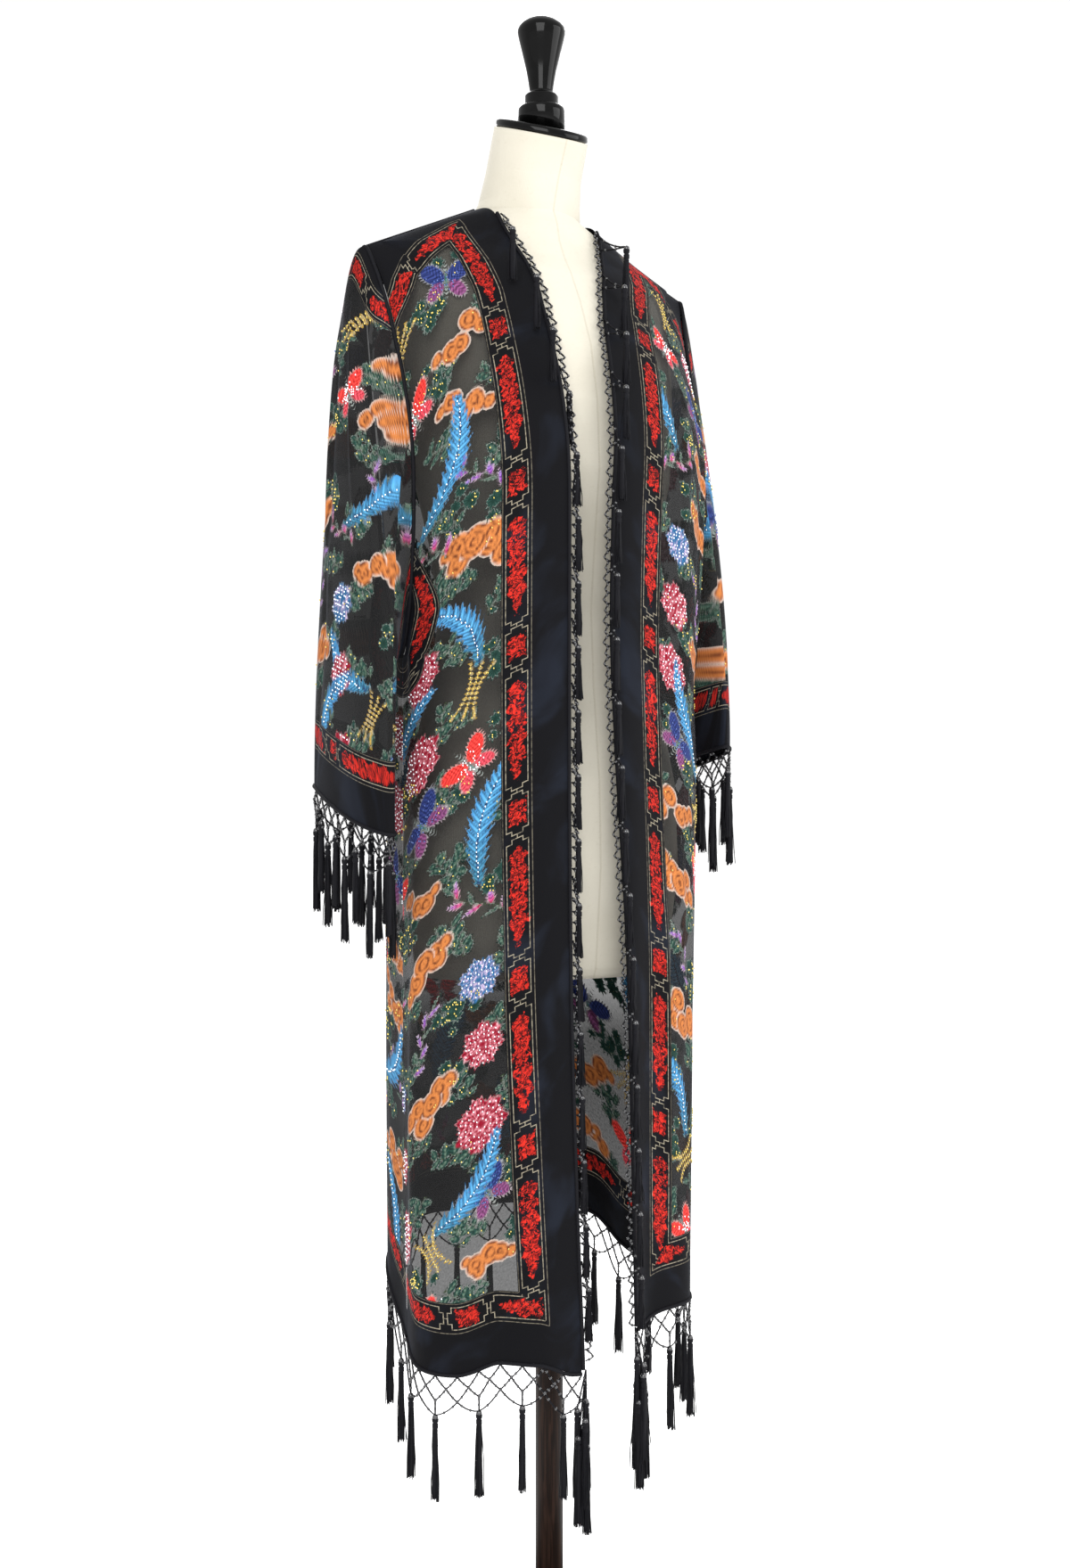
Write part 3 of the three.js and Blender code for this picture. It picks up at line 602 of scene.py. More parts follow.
    def spray(self, x: Array, y: Array) -> Drawing:
        """Jagged leaves in turn along a curved stem."""
        x, drawing = self.stem(x, y, 0.16)
        spots = []
        for i, base in enumerate(np.linspace(-0.95, 0.7, 9)):
            side = 1 if i % 2 else -1
            length = self.size * self.rng.uniform(0.5, 0.75)
            turn = math.pi / 2 - side * self.rng.uniform(0.55, 1.5)
            drawing = self.leaf(x, y - base * self.size, turn, length).over(drawing)
            along = length * 0.5
            spots.append([along * math.cos(turn), base * self.size + along * math.sin(turn)])
        drawing.spots, drawing.bead = np.array(spots)[::3], Bead.GOLD
        return drawing

    def tufts(self, x: Array, y: Array) -> Drawing:
        """Ragged tufts with gold beads."""
        drawing = Drawing(np.full(x.shape, 1e3), np.zeros((*x.shape, 3)), np.zeros(x.shape))
        spots = []
        for _ in range(9):
            cx, cy = self.rng.uniform(-0.8, 0.8, 2) * self.size * np.array([0.8, 1.1])
            radius = self.size * self.rng.uniform(0.2, 0.34)
            r, a = np.hypot(x - cx, y - cy), np.arctan2(y - cy, x - cx)
            near = r - radius * (1 + 0.2 * np.sin(9 * a + cx))
            share = np.clip(r / radius, 0, 1)
            colour = blend_colour(self.colour * 0.8, self.colour * 2.0 + 0.006, share)
            drawing = Drawing(near, colour, a * radius).over(drawing)
            spots.extend((np.array([cx, cy]) + self.rng.normal(0, radius * 0.45, (2, 2))).tolist())
        drawing.spots, drawing.bead = np.array(spots), Bead.GOLD
        return drawing

    def buds(self, x: Array, y: Array) -> Drawing:
        """Long pointed buds and narrow leaves on a thin branch."""
        x, drawing = self.stem(x, y, 0.2)
        own = self.colour
        for i, base in enumerate(np.linspace(-0.9, 0.95, 8)):
            side = 1 if i % 2 else -1
            turn = math.pi / 2 - side * self.rng.uniform(0.35, 1.0)
            flower = i % 3 != 1
            self.colour = own if flower else np.array(GREEN)
            near = self.leaf(x, y - base * self.size, turn, self.size * 0.5, 0.2 if flower else 0.14)
            if flower:
                tip = np.clip(near.stripe / (self.size * 0.5), 0, 1)
                near.colour = blend_colour(own, np.array([0.2, 0.14, 0.42]), tip)
                rim = np.clip(1 + near.distance / 1.6, 0, 1)
                near.colour = blend_colour(near.colour, np.array([0.5, 0.36, 0.42]), rim * 0.8)
            drawing = near.over(drawing)
        self.colour = own
        return drawing

    def ears(self, x: Array, y: Array) -> Drawing:
        """Thin bowed stalks covered in gold beads."""
        drawing = Drawing(np.full(x.shape, 1e3), np.zeros((*x.shape, 3)), y)
        spots = []
        for i in (-1, 0, 1):
            steps = np.arange(-self.size, self.size, 4.8)
            bow = i * 0.35 * self.size * (steps / self.size) ** 2 + i * 5
            spots.append(np.stack([bow, steps], axis=-1))
            path = i * 0.35 * self.size * (y / self.size) ** 2 + i * 5
            near = np.maximum(np.abs(x - path) - 1.6, np.abs(y) - self.size)
            drawing = Drawing(near, np.broadcast_to(np.array(GOLD), (*x.shape, 3)), y).over(drawing)
        drawing.spots, drawing.bead = np.concatenate(spots), Bead.GOLD
        return drawing

    def butterfly(self, x: Array, y: Array) -> Drawing:
        """Butterfly with four spotted wings and a thin body."""
        n = self.size
        own = self.colour
        parts = [
            (0.4, -0.34, 0.42, 0.27, -0.8, own * 0.6 + np.array([0.12, 0.02, 0.04])),
            (-0.4, -0.34, 0.42, 0.27, -2.34, own * 0.6 + np.array([0.12, 0.02, 0.04])),
            (0.48, 0.32, 0.56, 0.34, 0.7, own),
            (-0.48, 0.32, 0.56, 0.34, 2.44, own),
            (0.52, 0.36, 0.24, 0.14, 0.7, np.array([0.45, 0.12, 0.02])),
            (-0.52, 0.36, 0.24, 0.14, 2.44, np.array([0.45, 0.12, 0.02])),
            (0.0, 0.0, 0.5, 0.07, 1.57, np.array([0.02, 0.1, 0.09])),
        ]
        drawing = Drawing(np.full(x.shape, 1e3), np.zeros((*x.shape, 3)), y)
        for cx, cy, long, wide, turn, tone in parts:
            c, s = math.cos(turn), math.sin(turn)
            u = (c * (x - cx * n) + s * (y - cy * n)) / (long * n)
            v = (-s * (x - cx * n) + c * (y - cy * n)) / (wide * n)
            near = (np.hypot(u, v) - 1) * wide * n
            scales = 0.5 + 0.5 * np.sin(1.3 * u * long * n + 1.6 * v * wide * n)
            rim = np.clip(1 + near / 1.3, 0, 1)
            colour = blend_colour(tone * 0.6, tone * 1.6 + 0.02, scales)
            colour = blend_colour(colour, np.array([0.42, 0.4, 0.38]), rim * 0.6)
            drawing = Drawing(near, colour, u * long * n - np.abs(v) * wide * n).over(drawing)
        spots = self.rng.normal(0, 1, (40, 2)) * n * np.array([0.34, 0.26])
        drawing.spots, drawing.bead = spots, Bead.NAVY if own[2] > own[0] else Bead.CLEAR
        return drawing

    def draw(self, kind: Kind, x: Array, y: Array) -> Drawing:
        """Draws a kind of motif."""
        return getattr(self, kind.value)(x, y)


# The repeat: kind, size and colour of each main motif in turn
REPEAT = [
    (Kind.PEONY, 25, CRIMSON),
    (Kind.FROND, 128, BLUE),
    (Kind.CLOUD, 37, ORANGE),
    (Kind.BUTTERFLY, 31, NAVY),
    (Kind.BUDS, 36, CRIMSON),
    (Kind.FROND, 112, BLUE),
    (Kind.CLOUD, 32, ORANGE),
    (Kind.PEONY, 21, BLUE),
    (Kind.EARS, 26, GOLD),
    (Kind.CLOUD, 34, ORANGE),
    (Kind.PEONY, 22, CRIMSON),
    (Kind.BUTTERFLY, 27, RED),
    (Kind.BUDS, 32, VIOLET),
]


def half_drop(across: tuple[float, float], down: tuple[float, float], seed: int) -> list[Motif]:
    """Lays flowers, fronds, clouds and butterflies in a half-drop repeat over leaves.

    Args:
        across: Where the repeat starts and ends across the panel.
        down: Where it starts and ends down the panel.
        seed: Start of the repeat and of its unevenness.

    Returns:
        The motifs, leaves first.
    """
    rng = np.random.default_rng(seed)
    leaves, flowers = [], []
    for column, s in enumerate(np.arange(across[0], across[1], 62.0)):
        for row, t in enumerate(np.arange(down[0] + 37 * (column % 2), down[1], 74.0)):
            kind, size, colour = REPEAT[(3 * row + 5 * column + seed) % len(REPEAT)]
            lean = 0.3 if kind is Kind.CLOUD else 1.0
            turn = rng.uniform(0.3, 0.9) * (1 if row % 2 else -1) * lean
            low = t + 0.45 * size if kind is Kind.FROND else t
            place = (s + rng.uniform(-6, 6), low + rng.uniform(-8, 8))
            flowers.append(Motif(kind, *place, size * rng.uniform(0.9, 1.1), turn, colour))
            for angle in (0.8, 3.6):
                leaf = Kind.TUFTS if rng.uniform() < 0.3 else Kind.SPRAY
                ls, lt = s + 30 * math.cos(angle), t + 36 * math.sin(angle)
                leaves.append(Motif(leaf, ls, lt, rng.uniform(18, 25), rng.uniform(-1.4, 1.4), GREEN))
    return leaves + flowers


@dataclass
class Pattern:
    """Burnt-out pattern on a panel, and the places of its beads among the corners."""

    distance: Array
    depth: Array
    stripe: Array
    colour: Array
    beads: dict[Bead, list[Array]]

    @classmethod
    def lay(cls, layout: list[Motif], s: Array, t: Array) -> Pattern:
        """Lays the motifs of a layout on flat coordinates, the later over the earlier.

        Args:
            layout: The motifs.
            s: Distance across the panel.
            t: Distance down the panel.

        Returns:
            The pattern on the grid.
        """
        s, t = s.ravel(), t.ravel()
        far = np.full(s.size, FAR_FROM_MOTIFS)
        black = np.full((s.size, 3), 0.004)
        pattern = cls(far.copy(), far.copy(), np.zeros(s.size), black, {bead: [] for bead in Bead})
        for i, motif in enumerate(layout):
            c, n = math.cos(motif.turn), math.sin(motif.turn)
            dx = s - motif.s
            dy = motif.t - t
            near = np.flatnonzero(np.hypot(dx, dy) < motif.size * 1.5 + 12)
            if not near.size:
                continue
            x, y = (c * dx - n * dy)[near], (n * dx + c * dy)[near]
            drawn = MotifShapes(motif.size, motif.colour, 11 + 7 * i).draw(motif.kind, x, y)
            top = drawn.distance < np.where(pattern.distance[near] < 0, 0.0, pattern.distance[near])
            chosen = near[top]
            pattern.colour[chosen] = drawn.colour[top]
            pattern.stripe[chosen] = drawn.stripe[top]
            pattern.depth[chosen] = drawn.distance[top]
            pattern.distance[near] = np.minimum(pattern.distance[near], drawn.distance)
            if drawn.spots.size:
                away = np.hypot(x[None] - drawn.spots[:, :1], y[None] - drawn.spots[:, 1:])
                nearest = near[np.argmin(away, axis=1)]
                pattern.beads[drawn.bead].append(nearest[away.min(axis=1) < 3])
        return pattern


# Mesh making
class MeshMaker:
    """Gathers corners and faces for one joined object."""

    def __init__(self) -> None:
        self.points: list[Array] = []
        self.faces: list[Array] = []
        self.count = 0

    def add(self, points: Array, faces: Array) -> None:
        """Adds corners, and faces of four that count from the first of them."""
        self.points.append(points.reshape(-1, 3))
        self.faces.append(faces + self.count)
        self.count += len(points.reshape(-1, 3))

    def tubes(self, paths: Array, radius: Array, sides: int) -> None:
        """Adds round tubes.

        Args:
            paths: Points of shape (tubes, points, 3).
            radius: One radius, or one for each point of a path.
            sides: Sides of each tube.
        """
        n, m, _ = paths.shape
        way = unit(np.gradient(paths, axis=1))
        aside = unit(np.cross(way, np.array([0.31, 0.87, 0.38])))
        up = np.cross(way, aside)
        angle = np.arange(sides) / sides * 2 * math.pi
        radius = np.broadcast_to(radius, (m,))[None, :, None, None]
        ring = paths[:, :, None, :] + radius * (
            np.cos(angle)[None, None, :, None] * aside[:, :, None, :]
            + np.sin(angle)[None, None, :, None] * up[:, :, None, :]
        )
        tube, row, side = np.meshgrid(np.arange(n), np.arange(m - 1), np.arange(sides), indexing="ij")
        after = (side + 1) % sides
        base = tube * m * sides + row * sides
        faces = np.stack([base + side, base + after, base + sides + after, base + sides + side], axis=-1)
        self.add(ring, faces.reshape(-1, 4))

    def turned(self, centres: Array, profile: Array, sides: int) -> None:
        """Adds upright turned shapes: a profile of radius and height at each centre."""
        angle = np.arange(sides) / sides * 2 * math.pi
        ring = np.stack(
            [
                profile[:, 0, None] * np.cos(angle),
                profile[:, 0, None] * np.sin(angle),
                np.broadcast_to(profile[:, 1, None], (len(profile), sides)),
            ],
            axis=-1,
        )
        points = centres[:, None, None, :] + ring[None]
        n, m = len(centres), len(profile)
        each, row, side = np.meshgrid(np.arange(n), np.arange(m - 1), np.arange(sides), indexing="ij")
        after = (side + 1) % sides
        base = each * m * sides + row * sides
        faces = np.stack([base + side, base + after, base + sides + after, base + sides + side], axis=-1)
        self.add(points, faces.reshape(-1, 4)[:, ::-1])

    def beads(self, centres: Array, radius: float) -> None:
        """Adds small round beads of six sides."""
        profile = radius * np.array([[0.15, 1.0], [0.75, 0.66], [1.0, 0.0], [0.75, -0.66], [0.15, -1.0]])
        self.turned(centres, profile, 6)

    def grains(self, centres: Array, radius: float) -> None:
        """Adds tiny beads of four sides."""
        self.turned(centres, radius * np.array([[0.08, 1.1], [1.0, 0.0], [0.08, -1.1]]), 4)

    def build(self, name: str, material: bpy.types.Material) -> bpy.types.Object:
        """Makes the object, in metres, with its material."""
        points = np.concatenate(self.points) * MM
        return new_object(name, points, np.concatenate(self.faces), material)


def new_object(name: str, points: Array, faces: Array, material: bpy.types.Material) -> bpy.types.Object:
    """Makes a smooth mesh object from corners in metres and faces of four."""
    mesh = bpy.data.meshes.new(name)
    mesh.vertices.add(len(points))
    mesh.vertices.foreach_set("co", points.astype(np.float32).ravel())
    mesh.loops.add(faces.size)
    mesh.loops.foreach_set("vertex_index", faces.astype(np.int32).ravel())
    mesh.polygons.add(len(faces))
    mesh.polygons.foreach_set("loop_start", np.arange(0, faces.size, faces.shape[1], dtype=np.int32))
    mesh.polygons.foreach_set("use_smooth", np.ones(len(faces), dtype=bool))
    mesh.update(calc_edges=True)
    mesh.validate()
    mesh.materials.append(material)
    thing = bpy.data.objects.new(name, mesh)
    bpy.context.scene.collection.objects.link(thing)
    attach(thing, "root")
    LOG.info("%s: %d faces", name, len(faces))
    return thing


def grid_faces(rows: int, columns: int, closed: bool) -> Array:
    """Faces of four on a grid of points."""
    i, j = np.meshgrid(np.arange(rows - 1), np.arange(columns if closed else columns - 1), indexing="ij")
    after = (j + 1) % columns
    above, under = i * columns, (i + 1) * columns
    faces = np.stack([above + j, above + after, under + after, under + j], -1)
    return faces.reshape(-1, 4)


def set_values(thing: bpy.types.Object, name: str, values: Array) -> None:
    """Stores a number for each corner."""
    layer = thing.data.attributes.new(name, "FLOAT", "POINT")
    layer.data.foreach_set("value", values.astype(np.float32).ravel())


def set_colours(thing: bpy.types.Object, name: str, colours: Array) -> None:
    """Stores a colour for each corner."""
    layer = thing.data.color_attributes.new(name, "FLOAT_COLOR", "POINT")
    full = np.concatenate([colours.reshape(-1, 3), np.ones((colours.size // 3, 1))], axis=1)
    layer.data.foreach_set("color", np.clip(full, 0, 1).astype(np.float32).ravel())


def set_uv(thing: bpy.types.Object, u: Array, v: Array) -> None:
    """Stores flat cloth coordinates, in metres."""
    layer = thing.data.uv_layers.new(name="flat")
    index = np.empty(len(thing.data.loops), np.int32)
    thing.data.loops.foreach_get("vertex_index", index)
    flat = np.stack([u.ravel()[index], v.ravel()[index]], axis=-1) * MM
    layer.data.foreach_set("uv", flat.astype(np.float32).ravel())


# Materials
class Value:
    """A number or colour on the way through a shader, with plain arithmetic."""

    def __init__(self, shader: Shader, socket: bpy.types.NodeSocket) -> None:
        self.shader = shader
        self.socket = socket

    def math(self, operation: str, *others: Value | float) -> Value:
        """Result of a Math node on this value and others."""
        node = self.shader.node("ShaderNodeMath", {"operation": operation}, {})
        for slot, item in zip(node.inputs, (self, *others)):
            self.shader.put(slot, item)
        return Value(self.shader, node.outputs[0])

    def __neg__(self) -> Value:
        return self * -1.0

    def __add__(self, other: Value | float) -> Value:
        return self.math("ADD", other)

    def __sub__(self, other: Value | float) -> Value:
        return self.math("SUBTRACT", other)

    def __mul__(self, other: Value | float) -> Value:
        return self.math("MULTIPLY", other)

    def __truediv__(self, other: Value | float) -> Value:
        return self.math("DIVIDE", other)

    __radd__ = __add__
    __rmul__ = __mul__

    def __rsub__(self, other: float) -> Value:
        return (self * -1.0) + other

    def __abs__(self) -> Value:
        return self.math("ABSOLUTE")

    def lowest(self, other: Value | float) -> Value:
        """Smaller of two."""
        return self.math("MINIMUM", other)

    def highest(self, other: Value | float) -> Value:
        """Larger of two."""
        return self.math("MAXIMUM", other)

    def fraction(self) -> Value:
        """Part after the point."""
        return self.math("FRACT")

    def ramp(self, low: float, high: float) -> Value:
        """Smooth rise from 0 at low to 1 at high, or a fall where high is lower."""
        flip = high < low
        settings = {"interpolation_type": "SMOOTHSTEP"}
        values = {"Value": self, "From Min": min(low, high), "From Max": max(low, high)}
        values |= {"To Min": 1.0 if flip else 0.0, "To Max": 0.0 if flip else 1.0}
        node = self.shader.node("ShaderNodeMapRange", settings, values)
        return Value(self.shader, node.outputs["Result"])


class Shader:
    """Node tree of one material."""

    def __init__(self, name: str) -> None:
        self.material = bpy.data.materials.new(name)
        self.material.use_nodes = True
        self.tree = self.material.node_tree
        self.surface = self.tree.nodes["Principled BSDF"]

    def node(self, kind: str, settings: dict, values: dict) -> bpy.types.Node:
        """Adds a node with its settings, and puts values or links on its inputs."""
        node = self.tree.nodes.new(kind)
        for name, value in settings.items():
            setattr(node, name, value)
        for name, value in values.items():
            self.put(node.inputs[name], value)
        return node

    def put(self, slot: bpy.types.NodeSocket, item: object) -> None:
        """Links a value to an input, or sets a constant on it."""
        if isinstance(item, Value):
            self.tree.links.new(item.socket, slot)
        else:
            slot.default_value = item

    def attribute(self, name: str) -> Value:
        """Number stored at the corners."""
        node = self.node("ShaderNodeAttribute", {"attribute_name": name}, {})
        return Value(self, node.outputs["Fac"])

    def stored_colour(self, name: str) -> Value:
        """Colour stored at the corners."""
        node = self.node("ShaderNodeAttribute", {"attribute_name": name}, {})
        return Value(self, node.outputs["Color"])

    def place(self) -> Value:
        """Object coordinates."""
        return Value(self, self.node("ShaderNodeTexCoord", {}, {}).outputs["Object"])

    def flat(self) -> Value:
        """Flat cloth coordinates."""
        return Value(self, self.node("ShaderNodeTexCoord", {}, {}).outputs["UV"])

    def axis(self, vector: Value, index: int) -> Value:
        """One coordinate of a vector."""
        node = self.node("ShaderNodeSeparateXYZ", {}, {"Vector": vector})
        return Value(self, node.outputs[index])

    def join(self, x: Value | float, y: Value | float, z: Value | float) -> Value:
        """Vector of three numbers."""
        return Value(self, self.node("ShaderNodeCombineXYZ", {}, {"X": x, "Y": y, "Z": z}).outputs[0])

    def noise(self, vector: Value, scale: float, detail: float = 3.0, distortion: float = 0.0) -> Value:
        """Soft random pattern, from 0 to 1."""
        values = {"Vector": vector, "Scale": scale, "Detail": detail, "Distortion": distortion}
        return Value(self, self.node("ShaderNodeTexNoise", {}, values).outputs["Fac"])

    def blend(self, share: Value | float, low: object, high: object) -> Value:
        """Colour between two colours."""
        node = self.node("ShaderNodeMix", {"data_type": "RGBA"}, {})
        self.put(node.inputs[0], share)
        self.put(node.inputs[6], low)
        self.put(node.inputs[7], high)
        return Value(self, node.outputs[2])

    def scale_colour(self, colour: Value, factor: Value) -> Value:
        """Colour made lighter or darker."""
        node = self.node("ShaderNodeVectorMath", {"operation": "SCALE"}, {"Vector": colour, "Scale": factor})
        return Value(self, node.outputs[0])

    def bump(self, height: Value, strength: float, distance: float) -> None:
        """Small relief on the surface."""
        values = {"Height": height, "Strength": strength, "Distance": distance}
        node = self.node("ShaderNodeBump", {}, values)
        self.put(self.surface.inputs["Normal"], Value(self, node.outputs[0]))

    def finish(self, **values: object) -> bpy.types.Material:
        """Sets the surface's inputs by name, with spaces written as underscores."""
        for name, value in values.items():
            self.put(self.surface.inputs[name.replace("_", " ").title().replace("Ior", "IOR")], value)
        return self.material


@dataclass(frozen=True)
class BurnoutVelvet:
    """Velvet margin, ornamental band and motifs on sheer chiffon."""

    black: tuple[float, ...] = (0.002, 0.002, 0.003, 1)
    # Painted sheen: the lighter blue-grey the black velvet shows where its pile would catch the light.
    nap_sheen: tuple[float, ...] = (0.007, 0.009, 0.015, 1)
    cream: tuple[float, ...] = (0.34, 0.3, 0.22, 1)
    red: tuple[float, ...] = (0.5, 0.02, 0.012, 1)
    deep_red: tuple[float, ...] = (0.06, 0.002, 0.003, 1)
    outline: tuple[float, ...] = (0.24, 0.26, 0.24, 1)

    def stepped(self, at: Value) -> Value:
        """Edge of the stepped line across the band at a place along its repeat."""
        first = ((at - 29.0) / 17.0).highest(0.0).lowest(1.0)
        second = ((at - 154.0) / 15.0).highest(0.0).lowest(1.0)
        stair = (abs(first - second) * 4.0 + 0.5).math("FLOOR") / 4.0
        return stair * 22.6 + 4.7

    def line(self, across: Value, low: Value, high: Value) -> Value:
        """Thin line where the band's stepped edge passes between two places."""
        top = low.highest(high)
        bottom = low.lowest(high)
        return (across - top).ramp(0.65, 0.2) * (bottom - across).ramp(0.65, 0.2)

    def blocks(self, s: Shader, across: Value, at: Value, flat: Value) -> Value:
        """Share of red: short square blocks and long lobed ones, cut by dark curls."""
        ragged = (s.noise(flat, 130.0, 2.0, 1.2) - 0.5) * 13.0
        lobes = abs(((at - 48.0) * (math.pi / 17.3)).math("SINE"))
        taper = (at - 46.0).ramp(0.0, 14.0) * (154.0 - at).ramp(0.0, 30.0)
        middle = abs(across - BAND_WIDTH / 2)
        short = (abs(at - 14.5) - 11.5).highest(middle - 8.4)
        long = (abs(at - 100.0) - 50.0).highest(middle - (taper * (lobes * 3.6 + 5.0) + 1.0))
        curls = abs(s.noise(flat, 120.0, 1.0, 2.0) - 0.5).ramp(0.02, 0.075)
        return (short.lowest(long) + ragged).ramp(0.5, -0.5) * curls

    def build(self) -> bpy.types.Material:
        """Makes the material."""
        s = Shader("burnout_velvet")
        across, run = s.attribute("across"), s.attribute("run")
        flat = s.flat()
        fine = s.noise(flat, 900.0, 2.0)
        # Noise that lays out the painted sheen: lighter patches on the black ground, and the red brightened
        # there and darkened between them.
        nap_sheen = s.noise(flat, 14.0, 3.0, 0.6)
        streak = s.noise(flat, 240.0, 2.0, 0.4)
        at = (run / BAND_REPEAT).fraction() * BAND_REPEAT
        low, high = self.stepped(at - 0.5), self.stepped(at + 0.5)
        key = self.line(across, low, high).highest(self.line(BAND_WIDTH - across, low, high))
        border = abs(across - 0.8).ramp(0.6, 0.2).highest(abs(across - BAND_WIDTH + 1.2).ramp(0.6, 0.2) * 0.7)
        lines = key.highest(border * 0.5) * (streak.ramp(0.3, 0.6) * 0.55 + 0.2)
        field = across.ramp(BAND_WIDTH - 0.2, BAND_WIDTH + 0.2)
        band = 1.0 - field
        ground = s.blend(nap_sheen.ramp(0.48, 0.72), self.black, self.nap_sheen)
        red = self.blocks(s, across, at, flat) * band
        redness = s.blend(streak.ramp(0.3, 0.62), self.deep_red, self.red)
        # Red scaled by the painted sheen noise: brighter in the sheen patches, darker between them.
        ornament = s.blend(red, ground, s.scale_colour(redness, nap_sheen * 0.8 + 0.6))
        ornament = s.blend(lines * across.ramp(-0.4, 0.2) * band, ornament, self.cream)
        stripe = s.attribute("stripe")
        barbs = abs((stripe / 4.6).fraction() - 0.5) * 2.0
        motif = s.attribute("motif") + (barbs - 0.5) * 3.6 + (streak - 0.5) * 3.0
        figure = motif.ramp(0.45, -0.45) * field
        painted = s.scale_colour(s.stored_colour("tint"), barbs * 0.9 + fine * 0.9 + 0.1)
        rim = abs(s.attribute("depth") + 0.6 + (streak - 0.5) * 3.0).ramp(0.7, 0.25)
        painted = s.blend(rim * (fine.ramp(0.35, 0.6) * 0.5 + 0.15), painted, self.outline)
        sheer = s.blend(s.noise(flat, 30.0, 2.0), (0.004, 0.004, 0.0045, 1), (0.01, 0.01, 0.01, 1))
        colour = s.blend(figure, s.blend(field, ornament, sheer), painted)
        solid = band.highest(figure)
        gauze = s.noise(flat, 420.0, 1.0) * 0.08 + s.attribute("cover") - 0.04
        alpha = solid + (1.0 - solid) * gauze
        s.bump(solid * 0.5 + fine * 0.35 + red * 0.35 + barbs * figure * 0.25, 0.4, 0.0006)
        return s.finish(
            base_color=colour,
            alpha=alpha,
            roughness=solid * 0.15 + 0.7,
            sheen_weight=0.035,
            sheen_roughness=0.3,
            sheen_tint=(0.6, 0.68, 1.0, 1),
            specular_ior_level=0.12,
        )


@dataclass(frozen=True)
class Canvas:
    """Bare canvas of the dress form, with a seam down its middle."""

    colour: tuple[float, ...] = (0.53, 0.5, 0.42, 1)
    shade: tuple[float, ...] = (0.44, 0.41, 0.33, 1)

    def build(self) -> bpy.types.Material:
        """Makes the material."""
        s = Shader("canvas")
        place = s.place()
        x, z = s.axis(place, 0), s.axis(place, 2)
        weave = (x * 5200.0).math("SINE") * 0.5 + (z * 5200.0).math("SINE") * 0.5
        slub = s.noise(place, 260.0, 4.0)
        stain = s.noise(place, 9.0, 3.0)
        seam = abs(x).ramp(0.0016, 0.0006)
        stitches = ((z * 300.0).fraction() - 0.5).ramp(-0.2, 0.2) * seam
        colour = s.blend(stain.ramp(0.4, 0.75) * 0.6, self.colour, self.shade)
        colour = s.blend(seam * 0.35 + slub.ramp(0.55, 0.8) * 0.18, colour, (0.36, 0.32, 0.24, 1))
        s.bump(weave * 0.3 + slub * 0.8 - seam * 1.5 + stitches, 0.3, 0.0005)
        return s.finish(base_color=colour, roughness=slub * 0.12 + 0.82, sheen_weight=0.1)


@dataclass(frozen=True)
class Lacquer:
    """Gloss black lacquer on turned wood."""

    def build(self) -> bpy.types.Material:
        """Makes the material."""
        s = Shader("gloss_black")
        place = s.place()
        smear = s.noise(place, 60.0, 3.0)
        s.bump(s.noise(place, 35.0, 2.0), 0.05, 0.001)
        colour = s.blend(smear.ramp(0.5, 0.8), (0.0015, 0.0015, 0.0015, 1), (0.004, 0.004, 0.004, 1))
        return s.finish(base_color=colour, roughness=smear * 0.06 + 0.06, specular_ior_level=0.14)


@dataclass(frozen=True)
class StainedWood:
    """Dark stained wood of the pole."""

    def build(self) -> bpy.types.Material:
        """Makes the material."""
        s = Shader("stained_wood")
        place = s.place()
        x, y, z = (s.axis(place, i) for i in range(3))
        grain = s.noise(s.join(x * 60.0, y * 60.0, z * 3.0), 6.0, 5.0, 0.8)
        colour = s.blend(grain.ramp(0.35, 0.7), (0.006, 0.003, 0.002, 1), (0.024, 0.012, 0.008, 1))
        s.bump(grain, 0.15, 0.0006)
        return s.finish(base_color=colour, roughness=grain * 0.25 + 0.35, specular_ior_level=0.1)


@dataclass(frozen=True)
class SatinMetal:
    """Satin black iron of the stand's foot."""

    def build(self) -> bpy.types.Material:
        """Makes the material."""
        s = Shader("stand_black")
        place = s.place()
        cast = s.noise(place, 320.0, 3.0)
        dust = s.noise(place, 18.0, 3.0)
        colour = s.blend(dust.ramp(0.45, 0.8) * 0.5, (0.01, 0.009, 0.009, 1), (0.05, 0.046, 0.042, 1))
        s.bump(cast, 0.2, 0.0004)
        return s.finish(base_color=colour, roughness=cast * 0.2 + 0.35, metallic=0.3)


@dataclass(frozen=True)
class SilkThread:
    """Black silk of the tassels and net."""

    colour: tuple[float, ...] = (0.0015, 0.0015, 0.002, 1)

    def build(self) -> bpy.types.Material:
        """Makes the material."""
        s = Shader("silk_thread")
        strand = s.noise(s.place(), 600.0, 2.0)
        colour = s.blend(strand, self.colour, (0.007, 0.007, 0.01, 1))
        s.bump(strand, 0.2, 0.0004)
        return s.finish(base_color=colour, roughness=strand * 0.2 + 0.6, specular_ior_level=0.12)


@dataclass(frozen=True)
class GlassBead:
    """Small glass bead of one colour."""

    name: str
    colour: tuple[float, ...]

    def build(self) -> bpy.types.Material:
        """Makes the material."""
        s = Shader(self.name)
        lustre = s.noise(s.place(), 500.0, 1.0)
        colour = s.blend(lustre, self.colour, tuple(1.7 * c + 0.012 for c in self.colour[:3]) + (1,))
        gloss = lustre * 0.1 + 0.08
        return s.finish(base_color=colour, roughness=gloss, coat_weight=0.8, coat_roughness=0.03)


